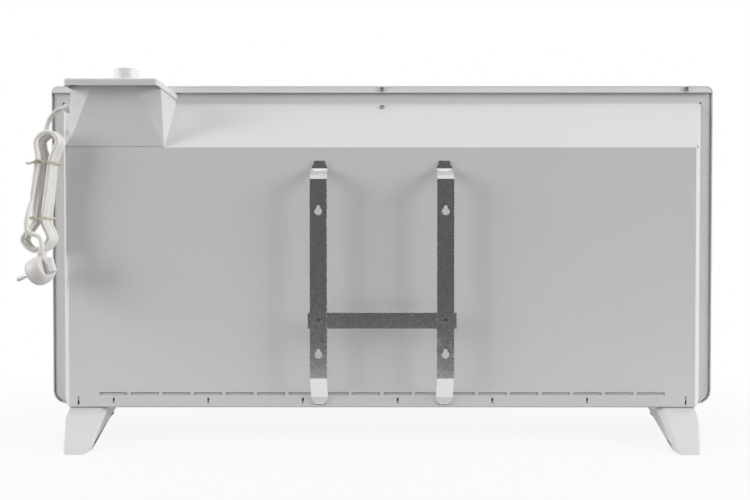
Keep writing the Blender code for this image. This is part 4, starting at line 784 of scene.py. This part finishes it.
# Ties
TIE_THICK = 0.0009
TIE_WIDTH = 0.0022
TIE_MARGIN = 0.0006
TIE_ROUND = 0.0002
TIE_POINTS = 64
TIE_PLACES = {"hank_tie_upper": 0.0330, "hank_tie_lower": -0.0300}
TIE_ENDS = {"hank_tie_upper": ((0, 0, 0), (0.0020, 0.0015, 0.0012), (0.0060, 0.0022, 0.0018),
                               (0.0100, 0.0020, -0.0004), (0.0150, 0.0014, -0.0020),
                               (0.0185, 0.0010, -0.0010)),
            "hank_tie_lower": ((0, 0, 0), (0.0010, 0.0015, -0.0012), (-0.0020, 0.0021, -0.0020),
                               (-0.0060, 0.0017, -0.0022), (-0.0082, 0.0013, -0.0014))}
TWIST_WIDE = 0.0024
TWIST_THICK = 0.0012
TWIST_TURNS = 3.5
TWIST_POINTS = 46
TWIST_WOUND = 30               # points along which they are wound


def tie_ring(along):
    """The ring of a tie round the bundle, as points round a rounded box."""
    clear = CORD_RADIUS + TIE_MARGIN + TIE_THICK / 2
    across = HANK_WAIST + clear
    deep = HANK_PITCH * (HANK_LOOPS - 1) / 2 + clear
    points = []
    for turn in range(TIE_POINTS):
        angle = 2 * math.pi * turn / TIE_POINTS
        wide = math.cos(angle)
        far = math.sin(angle)
        scale = 1.0 / (abs(wide) ** 6 + abs(far) ** 6) ** (1 / 6)
        middle = beside(across * wide * scale, along, 0.0)
        points.append(middle + Vector((0, deep * far * scale, 0)))
    return points


def band_faces(count, closed):
    """The sides of a band with four points at each of so many places."""
    faces = []
    for index in range(count if closed else count - 1):
        first = 4 * index
        second = 4 * ((index + 1) % count)
        for corner in range(4):
            after = (corner + 1) % 4
            faces.append((first + corner, second + corner, second + after, first + after))
    if not closed:
        last = 4 * (count - 1)
        faces += [(0, 1, 2, 3), (last + 3, last + 2, last + 1, last)]
    return faces


def ring_band(points):
    """The flat closed band of a tie, wide along Z."""
    axis = Vector((0, 0, 1))
    up = axis * TIE_WIDTH / 2
    verts = []
    count = len(points)
    for index, point in enumerate(points):
        along = (points[(index + 1) % count] - points[index - 1]).normalized()
        side = along.cross(axis).normalized() * TIE_THICK / 2
        verts += [point - side - up, point + side - up, point + side + up, point - side + up]
    return face_outwards(mesh_piece("band", verts, band_faces(count, True)))


def twisted_end(start, points):
    """Two ends of the tie wound round each other, as one band that turns on itself."""
    route = smooth_route([start + Vector(point) for point in points], TWIST_POINTS)
    verts = []
    for index, point in enumerate(route):
        after = route[min(index + 1, TWIST_POINTS - 1)]
        along = (after - route[max(index - 1, 0)]).normalized()
        side = along.cross(Vector((0, 1, 0.2))).normalized()
        up = along.cross(side)
        turn = 2 * math.pi * TWIST_TURNS * min(index / TWIST_WOUND, 1.0)
        first = side * math.cos(turn) + up * math.sin(turn)
        second = up * math.cos(turn) - side * math.sin(turn)
        for a, b in ((-1, -1), (1, -1), (1, 1), (-1, 1)):
            verts.append(point + first * a * TWIST_WIDE / 2 + second * b * TWIST_THICK / 2)
    return face_outwards(mesh_piece("twist", verts, band_faces(TWIST_POINTS, False)))


def make_ties():
    """Each tie is a coated band round the bundle, its ends twisted together towards the wall."""
    rear = HANK_PITCH * (HANK_LOOPS - 1) / 2 + CORD_RADIUS + TIE_MARGIN + TIE_THICK
    for node, along in TIE_PLACES.items():
        band = bevel(ring_band(tie_ring(along)), TIE_ROUND, 2, 50)
        start = beside(0.0, along, 0.0) + Vector((0, rear, 0))
        joined(band, twisted_end(start, TIE_ENDS[node]))
        deliver(band, node + "_twisted", "casing", "tie_plastic", node)


# Plug
PLUG_AIM = (0.84, -0.42, -0.35)
PLUG_SCALE = 0.91              # of the solid's size
PLUG_LIFT = 0.0014
PLUG_FACE = 0.0100             # half of the plug's depth
PLUG_EDGE = 0.0012
PLUG_GROOVE = PLUG_RADIUS - 0.0005
PLUG_BACK_RADIUS = 0.0125
PLUG_BACK_RIM = 0.0002
PLUG_PROFILE = ((PLUG_BACK_RIM - PLUG_FACE, PLUG_BACK_RADIUS), (-0.0086, 0.0140),
                (-0.0062, 0.0155), (-0.0040, 0.0163), (0.0, PLUG_RADIUS), (0.0064, PLUG_RADIUS),
                (0.0066, PLUG_GROOVE), (0.0071, PLUG_GROOVE), (0.0073, PLUG_RADIUS),
                (0.0090, PLUG_RADIUS), (0.0098, PLUG_GROOVE), (PLUG_FACE, PLUG_RADIUS - PLUG_EDGE))
PLUG_FACE_RIM = 0.0016
PLUG_FACE_SUNK = 0.0006
GRIP_SIZE = (0.0095, 0.0200, 0.0118)
GRIP_Z = -0.0160
GRIP_NARROW_X = 0.72
GRIP_NARROW_Y = 0.94
GRIP_ROUND = 0.0016
NECK_RADIUS = 0.0052
NECK_RIM = 0.0008
NECK_ROUND = 0.0006
SHOULDER_RADIUS = 0.0074
SHOULDER_DEEP = 0.0052
SHOULDER_NARROW = 0.72
PIN_RADIUS = 0.0024
PIN_LENGTH = 0.0190
PIN_SEATED = 0.0027
PIN_SPACING = 0.0190
PIN_TIP_RIM = 0.0003
PIN_TIP_ROUND = 0.0011


def plug_matrix():
    aim = Vector(PLUG_AIM).to_track_quat("Z", "Y").to_matrix().to_4x4()
    return Matrix.Translation(PLUG_MIDDLE) @ aim


def plug_body():
    """Domed back, grooved rim and sunk face, turned about Z."""
    body = cylinder(PLUG_BACK_RADIUS, -PLUG_FACE, PLUG_PROFILE[0][0], 64)
    pick_end(body)
    draw_out(PLUG_BACK_RADIUS, [(level - before[0], radius) for before, (level, radius)
                                in zip(PLUG_PROFILE, PLUG_PROFILE[1:])])
    bpy.ops.mesh.inset(thickness=PLUG_FACE_RIM)
    bpy.ops.transform.translate(value=(0, 0, -PLUG_FACE_SUNK))
    mode("OBJECT")
    return body


def make_plug():
    """A round moulded plug: rimmed face, domed back, slanted grip, and the neck of the cord."""
    body = plug_body()
    grip = narrowed(block(GRIP_SIZE, (0, 0, GRIP_Z)), GRIP_NARROW_X, GRIP_NARROW_Y, -1)
    bevel(grip, GRIP_ROUND, 5, 40)
    neck = stepped(cylinder(NECK_RADIUS, 0.0, PLUG_NECK_LENGTH, 40), (NECK_RIM, 0.0))
    bevel(neck, NECK_ROUND, 3, 50)
    shoulder = narrowed(cylinder(SHOULDER_RADIUS, -SHOULDER_DEEP, JOIN_OVERLAP, 40),
                        SHOULDER_NARROW, SHOULDER_NARROW)
    lift = Matrix.Translation((0, 0, PLUG_LIFT))
    for part in (body, grip):
        part.data.transform(lift @ plug_matrix() @ Matrix.Scale(PLUG_SCALE, 4))
    for part in (neck, shoulder):
        part.data.transform(Matrix.Translation(PLUG_MIDDLE + Vector((0, 0, PLUG_RADIUS))))
    joined(body, grip, neck, shoulder)
    return deliver(body, "moulded_plug", "casing", "plug_plastic", "plug_body",
                   rounded=38, flat=True)


def make_pins():
    """Turned pins with rounded tips."""
    pins = []
    for node, side in (("plug_pin_near", 1), ("plug_pin_far", -1)):
        pin = cylinder(PIN_RADIUS, PLUG_FACE - PIN_SEATED, PLUG_FACE + PIN_LENGTH, 32)
        stepped(pin, (PIN_TIP_RIM, 0.0))
        bevel(pin, PIN_TIP_ROUND, 5, 60)
        pin.data.transform(plug_matrix() @ Matrix.Translation((side * PIN_SPACING / 2, 0, 0)))
        pins.append(deliver(pin, node + "_turned", "casing", "plated_steel", node))
    return pins


def make_cord(plug, pins):
    """One cord from the gland through the hank to the plug."""
    points = smooth_route(lead_route() + hank_route() + tail_route(), 900)
    length = sum((second - first).length for first, second in zip(points, points[1:]))
    cord = cord_curve("mains_lead", points)
    hand_over(cord, "casing", "cord_jacket", "cord_lead", "cord_hank", "cord_tail")
    return cord


# Feet
FOOT_OUTER = BACK_HALF - 0.0167
FOOT_SOLE_WIDTH = 0.0305
FOOT_FLARE_IN = 0.0105
FOOT_FLARE_OUT = 0.0040
FOOT_SPLAY_SHARE = 0.218
FOOT_SHOULDER_DROP = 0.0045
FOOT_RIM_DROP = 0.0040
FOOT_TIP_IN = 0.0050
FOOT_TIP_HIGH = 0.0060
FOOT_SEAT_REAR = 0.0415
FOOT_SEAT_FRONT = -0.0490
FOOT_SOLE_SHARE = 0.11         # of the foot's depth, as the next two
FOOT_ARCH_SHARE = 0.31
FOOT_SHOULDER_SHARE = 0.33
FOOT_CROWN_SHARE = 0.62        # of the foot's height
FOOT_SPRING_SHARE = 0.75       # of the crown's height and the arch's half width
FOOT_SEAT_HALF = 0.0505        # within this and above the next, edges stay sharp
FOOT_SEAT_LOW = 0.0200
FOOT_HOLLOW_HALF = 0.0700
FOOT_HOLLOW_LOW = 0.0050
FOOT_HOLLOW_HIGH = 0.0300
FOOT_WAIST = 0.0050            # how much narrower the arch is, inner side
FOOT_ROUND = 0.0085            # of its long edges, inner side
FOOT_ROUND_OUTER = 0.0030
FOOT_BEND_HIGH = 0.24          # of its bends, as a share of that
FOOT_BEND_LOW = 0.08


def foot_outline(low, high):
    """The arch from the side, from seat to seat: rear leg, hollow, front leg."""
    end = high.y
    depth = high.y - low.y
    sole = depth * FOOT_SOLE_SHARE
    arch = depth * FOOT_ARCH_SHARE
    shoulder = depth * FOOT_SHOULDER_SHARE
    crown = high.z * FOOT_CROWN_SHARE
    spring = crown * FOOT_SPRING_SHARE
    inner_arch = arch * FOOT_SPRING_SHARE
    seat = BACK_LOW_Z - GAP
    front_seat = PANEL_LOW.z - GAP
    rear = [(RIM_Y + GAP, high.z - FOOT_RIM_DROP), (FOOT_SEAT_REAR, seat),
            (shoulder, seat - FOOT_SHOULDER_DROP), (end - FOOT_TIP_IN, FOOT_TIP_HIGH),
            (end, 0.0), (end - sole, 0.0)]
    hollow = [(arch, spring), (inner_arch, crown), (0.0, crown), (-inner_arch, crown),
              (-arch, spring)]
    front = [(-end + sole, 0.0), (-end, 0.0), (-end + FOOT_TIP_IN, FOOT_TIP_HIGH),
             (-shoulder, front_seat - FOOT_SHOULDER_DROP), (FOOT_SEAT_FRONT, front_seat),
             (RIM_Y + GAP, front_seat)]
    return rear + hollow + front


def weigh_foot_edges(mesh):
    """How much of the rounding each edge takes: all along the inner side, none at the seat."""
    weight = mesh.attributes.new("bevel_weight_edge", "FLOAT", "EDGE")
    for edge in mesh.edges:
        ends = [mesh.vertices[index].co for index in edge.vertices]
        if all(abs(point.y) < FOOT_SEAT_HALF and point.z > FOOT_SEAT_LOW for point in ends):
            continue
        if abs(ends[0].x - ends[1].x) > 0.5:
            high = max(point.z for point in ends) > FOOT_SEAT_LOW
            share = FOOT_BEND_HIGH if high else FOOT_BEND_LOW
        else:
            share = 1.0 if ends[0].x < 0.5 else FOOT_ROUND_OUTER / FOOT_ROUND
        weight.data[edge.index].value = share


def make_foot(name, side):
    """The arch drawn out sideways, flared to its seat, splayed to the front and rounded."""
    low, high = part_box("foot_" + name)
    outline = foot_outline(low, high)
    foot = mesh_piece("foot", [(0.0, y, z) for y, z in outline], [tuple(range(len(outline)))])
    mesh = foot.data
    edit_all(foot)
    bpy.ops.mesh.extrude_region_move(TRANSFORM_OT_translate={"value": (1, 0, 0)})
    mode("OBJECT")
    face_outwards(foot)
    weigh_foot_edges(mesh)
    for vertex in mesh.vertices:
        rise = vertex.co.z / (BACK_LOW_Z - GAP)
        inner = FOOT_OUTER - FOOT_SOLE_WIDTH - FOOT_FLARE_IN * rise
        outer = FOOT_OUTER + FOOT_FLARE_OUT * rise
        splay = FOOT_SPLAY_SHARE * (high.y - vertex.co.y)
        in_hollow = FOOT_HOLLOW_LOW < vertex.co.z < FOOT_HOLLOW_HIGH
        if in_hollow and abs(vertex.co.y) < FOOT_HOLLOW_HALF:
            inner += FOOT_WAIST
        vertex.co.x = side * (inner + (outer - inner) * vertex.co.x + splay)
    if side < 0:
        mesh.flip_normals()
    bevel(foot, FOOT_ROUND, 6, None)
    deliver(foot, f"foot_{name}_moulding", "casing", "white_plastic", "foot_" + name, flat=True)


# Sheet metal: the CAD shapes with their edges rounded over
SLOPE_UP = 0.0080              # the slope runs up to just under the panel's lip
SLOPE_FROM = 0.06              # its points lie between these shares of its height
SLOPE_TO = 1.03
WALL_OUT = 0.0026              # foot of the side walls, further out
WALL_NEAR = 0.0035             # how near WALL_HALF its points lie
FLANGE_REAR = -0.0360          # in front of this lies the flange
FLANGE_BACK = 0.0062           # the flange lies nearer the panel's rim
SIDE_BACK_FOOT = 0.0094        # and leans outwards at the sides
SIDE_BACK_RIM = 0.0066
SIDE_RIM_HALF = 0.4060         # beyond this lies its outer edge
FOLD_START = BACK_HALF - 0.0030        # where the bend of the vertical folds starts
FOLD_FRONT_Y = 0.0374          # and how far to the front it is shaped
FOLD_END_Y = 0.0415            # where it meets the wall
FOLD_NEAR = 0.00005
FOLD_OUT = 0.0024              # how much further out the visible fold of the back lies
FOLD_BACK = 0.0018
FOLD_SIDE = 0.0008
FOLD_DEEP = 0.0020
FOLD_RUN_BACK = 0.0015         # over which that grows: on the back, between, at the wall
FOLD_RUN = 0.0020
FOLD_RUN_END = 0.0030
LIP_LEAN = 0.36                # of the panel's hanging lip: to the rear for each metre down
LIP_HALF = 0.4108              # where it starts to lean, at either end
LIP_DEEP = 0.0040              # its points lie within this of the rim
LIP_LOW_Z = 0.4190             # and above this
HOUSING_FOOT_Y = 0.0405        # behind this, below the next: the housing's lower edge
HOUSING_FOOT_Z = KINK_Z + 0.0010
HOUSING_FOOT_DROP = 0.0005
CORNER_BEYOND = (0.3600, 0.0320, 0.4100)       # beyond this lies its upper corner
CORNER_DROP = 0.0026


def widen_folds(piece):
    """Move the cover's slope and flange, and draw the vertical folds of its back out."""
    for vertex in piece.data.vertices:
        point = vertex.co
        reach = abs(point.x)
        sign = 1 if point.x > 0 else -1
        rise = (point.z - KINK_Z) / (SLOPE_Z - KINK_Z)
        on_slope = SLOPE_FROM < rise < SLOPE_TO
        if point.y < FLANGE_REAR:
            if abs(reach - WALL_HALF) < WALL_NEAR:
                point.x = sign * (reach + WALL_OUT)
                point.y += SIDE_BACK_FOOT
            else:
                point.y += SIDE_BACK_RIM if reach > SIDE_RIM_HALF else FLANGE_BACK
        elif on_slope:
            point.y += FLANGE_BACK * rise
        if on_slope:
            point.z += SLOPE_UP * rise
        if reach < FOLD_START or point.y < FOLD_FRONT_Y:
            continue
        if abs(point.y - BACK_Y) < FOLD_NEAR:
            share = min((reach - FOLD_START) / FOLD_RUN_BACK, 1.0)
            point.x = sign * (reach + (FOLD_OUT - FOLD_BACK) * share)
        elif abs(point.y - FOLD_END_Y) < FOLD_NEAR:
            share = min((reach - FOLD_START) / FOLD_RUN_END, 1.0)
            point.x = sign * (reach + (FOLD_OUT + FOLD_SIDE) * share)
            point.y -= FOLD_DEEP * share
        else:
            share = min((reach - FOLD_START) / FOLD_RUN, 1.0)
            point.x = sign * (reach + FOLD_OUT * share)


def lean_lip(piece):
    """Lean the panel's hanging lip, its lower edge to the rear."""
    bisected(piece, (1, 0, 0), (-LIP_HALF, 0, 0), (LIP_HALF, 0, 0))
    for vertex in piece.data.vertices:
        point = vertex.co
        behind = point.y > RIM_Y - LIP_DEEP and point.z > LIP_LOW_Z
        if behind and abs(point.x) < LIP_HALF + 0.0001:
            point.y += LIP_LEAN * (PANEL_HIGH.z - point.z)


def drop_corner(piece):
    """The upper corner at the gland's side ends lower; the lower edge closes on the fold."""
    for vertex in piece.data.vertices:
        point = vertex.co
        if point.y > HOUSING_FOOT_Y and point.z < HOUSING_FOOT_Z:
            point.z -= HOUSING_FOOT_DROP
        if all(place > limit for place, limit in zip(point, CORNER_BEYOND)):
            point.z -= CORNER_DROP


# Lips and tabs of the slots in the back
INTAKE_SLOTS = 18
INTAKE_PITCH = 0.0369
INTAKE_Z = 0.0559
INTAKE_LIP = (0.0314, 0.0007, 0.0018)
INTAKE_LIP_IN = 0.0010         # from the back's face to the lip's middle
INTAKE_LIP_ROUND = 0.0002
INTAKE_LIP_LEAN = math.radians(-24)
TAB_WIDE = 0.0013
TAB_DEEP = 0.0009
TAB_IN = 0.0012
LOW_TABS = 6
LOW_TAB_PITCH = 0.1105
LOW_TAB_MIDDLE = 0.0370
LOW_TAB_Z = 0.0464
LOW_TAB_HIGH = 0.0026
END_TAB_X = 0.3543
END_TAB_Z = 0.0500
END_TAB_HIGH = 0.0040


def row(count, pitch):
    """Places along X, evenly spaced about the middle."""
    return [(index - (count - 1) / 2) * pitch for index in range(count)]


def make_intake_lips():
    """Behind each intake slot a lip lanced inwards and down, and the tabs of the lower row."""
    lip = bevel(block(INTAKE_LIP, (0, 0, 0)), INTAKE_LIP_ROUND, 2)
    seat = Matrix.Translation((0, BACK_Y - INTAKE_LIP_IN, INTAKE_Z))
    lip.data.transform(seat @ Matrix.Rotation(INTAKE_LIP_LEAN, 4, "X"))
    pieces = []
    for along in row(INTAKE_SLOTS, INTAKE_PITCH):
        copy = linked("lip", lip.data.copy())
        copy.data.transform(Matrix.Translation((along, 0, 0)))
        pieces.append(copy)
    bpy.data.objects.remove(lip, do_unlink=True)
    tabs = [(LOW_TAB_MIDDLE + along, LOW_TAB_Z, LOW_TAB_HIGH)
            for along in row(LOW_TABS, LOW_TAB_PITCH)]
    tabs += [(side * END_TAB_X, END_TAB_Z, END_TAB_HIGH) for side in (-1, 1)]
    for along, level, high in tabs:
        pieces.append(block((TAB_WIDE, TAB_DEEP, high), (along, BACK_Y - TAB_IN, level)))
    joined(*pieces)
    deliver(pieces[0], "intake_lips", "casing", "painted_steel", rounded=35)


def make_casing():
    refined("front_panel", "casing", "painted_steel", 0.0004, 2, shape=lean_lip)
    refined("rear_cover", "casing", "painted_steel", 0.0003, 2, 20, shape=widen_folds)
    refined("control_housing", "casing", "painted_steel", 0.0003, 2, 2, shape=drop_corner)
    refined("control_top_plate", "casing", "painted_steel", 0.0004, 3)
    for index in (1, 2, 3):
        refined(f"outlet_grille_{index}", "casing", "grille_enamel", 0.0003, 2)
    for side in ("left", "right"):
        refined(f"bracket_upright_{side}", "wall_bracket", "galvanised_steel", 0.0005, 3)
    refined("bracket_crossbar", "wall_bracket", "galvanised_steel", 0.0003, 2)
    make_foot("left", 1)
    make_foot("right", -1)
    make_intake_lips()


# Room
ROOM_REACH = 6.0
FLOOR_END = 0.42               # short of the camera, as a studio table
FLOOR_Z = -0.0004
SKY_DARK = 0.11                # behind the camera
SKY_LIGHT = 0.42               # behind the object
SKY_HIGH = 0.10                # added overhead
CAMERA_RAY = 0                 # outputs of the Light Path node
GLOSSY_RAY = 3
THROUGH_RAY = 6


def mirrored_rays(finish):
    """1 for what is seen mirrored or through glass, else 0."""
    return finish.node("LightPath", output=GLOSSY_RAY).greater(
        finish.node("LightPath", output=THROUGH_RAY))


def shown_rays(finish):
    """1 for what the camera sees straight, mirrored or through glass, else 0."""
    return finish.node("LightPath", output=CAMERA_RAY).greater(mirrored_rays(finish))


def floor_finish():
    """Pale floor that keeps the shadow near the object and goes white away from it."""
    finish = Finish("pale floor", {"Roughness": 0.85, "Base Color": (0.58, 0.58, 0.58, 1.0)})
    oval = finish.place((1.0, 1.6, 0.0))
    reach = finish.node("VectorMath", {"operation": "LENGTH"}, {0: oval}, 1)
    plain = finish.span(reach, 0.35, 1.0, 0.90, 1.0)
    white = finish.node("Emission", {}, {"Color": (1.0, 1.0, 1.0, 1.0), "Strength": 1.0})
    mixed = finish.node("MixShader", {}, {0: plain * shown_rays(finish)})
    tree = finish.tree
    tree.links.new(finish.shader.outputs[0], mixed.socket.node.inputs[1])
    tree.links.new(white.socket, mixed.socket.node.inputs[2])
    tree.links.new(mixed.socket, tree.nodes["Material Output"].inputs["Surface"])
    return finish.material


def make_floor():
    bpy.ops.mesh.primitive_grid_add(x_subdivisions=8, y_subdivisions=8, size=2 * ROOM_REACH,
                                    location=(0, FLOOR_END - ROOM_REACH, FLOOR_Z))
    floor = bpy.context.object
    settle(floor, "floor", floor_finish())


def light_world():
    """White for the camera; as light, a sweep, bright behind the object and dark behind us."""
    world = bpy.data.worlds.new("studio")
    bpy.context.scene.world = world
    world.use_nodes = True
    sky = Finish.of_tree(world.node_tree)
    world.node_tree.nodes.clear()
    way = sky.node("SeparateXYZ", {}, {0: sky.node("TexCoord")}, 1)
    height = sky.node("SeparateXYZ", {}, {0: sky.node("TexCoord")}, 2)
    level = sky.span(way, 0.98, 0.35, SKY_DARK, SKY_LIGHT)
    sweep = level + sky.span(height, 0.1, 0.9, 0.0, SKY_HIGH)
    backdrop = sky.span(way, 0.10, -0.20)
    mirrored = backdrop * mirrored_rays(sky)
    seen = sky.node("LightPath", output=CAMERA_RAY).greater(mirrored)
    strength = sky.node("Mix", {}, {0: seen, 2: sweep, 3: 1.0})
    light = sky.node("Background", {}, {0: (1.0, 1.0, 1.0, 1.0), 1: strength})
    output = world.node_tree.nodes.new("ShaderNodeOutputWorld")
    world.node_tree.links.new(light.socket, output.inputs[0])


def softbox(name, place, aim, level, wide, high):
    """A large area lamp; level is how bright it makes a white card that faces it at its aim."""
    place = Vector(place)
    aim = Vector(aim)
    data = bpy.data.lights.new(name, "AREA")
    data.shape = "RECTANGLE"
    data.size = wide
    data.size_y = high
    data.energy = level * math.pi ** 2 * (aim - place).length_squared
    lamp = linked(name, data)
    lamp.location = place
    lamp.rotation_euler = (aim - place).to_track_quat("-Z", "Y").to_euler()


def light_studio():
    softbox("overhead softbox", (0.0, 0.5, 3.0), (0.0, 0.0, 0.35), 0.31, 2.8, 1.6)
    softbox("side softbox at the controls", (3.2, 1.10, 1.0), (0.4, 0.0, 0.2), 0.66, 1.2, 2.0)
    softbox("side softbox", (-3.3, 0.95, 1.2), (-0.4, 0.0, 0.2), 0.82, 1.2, 2.0)


bpy.context.scene.view_settings.view_transform = "Standard"
paint_cad_nodes()
make_camera()
make_casing()
make_screws()
make_rivets()
make_knob()
make_gland()
make_ties()
make_cord(make_plug(), make_pins())
make_floor()
light_world()
light_studio()

bpy.ops.object.select_all(action="DESELECT")
bpy.context.view_layer.update()
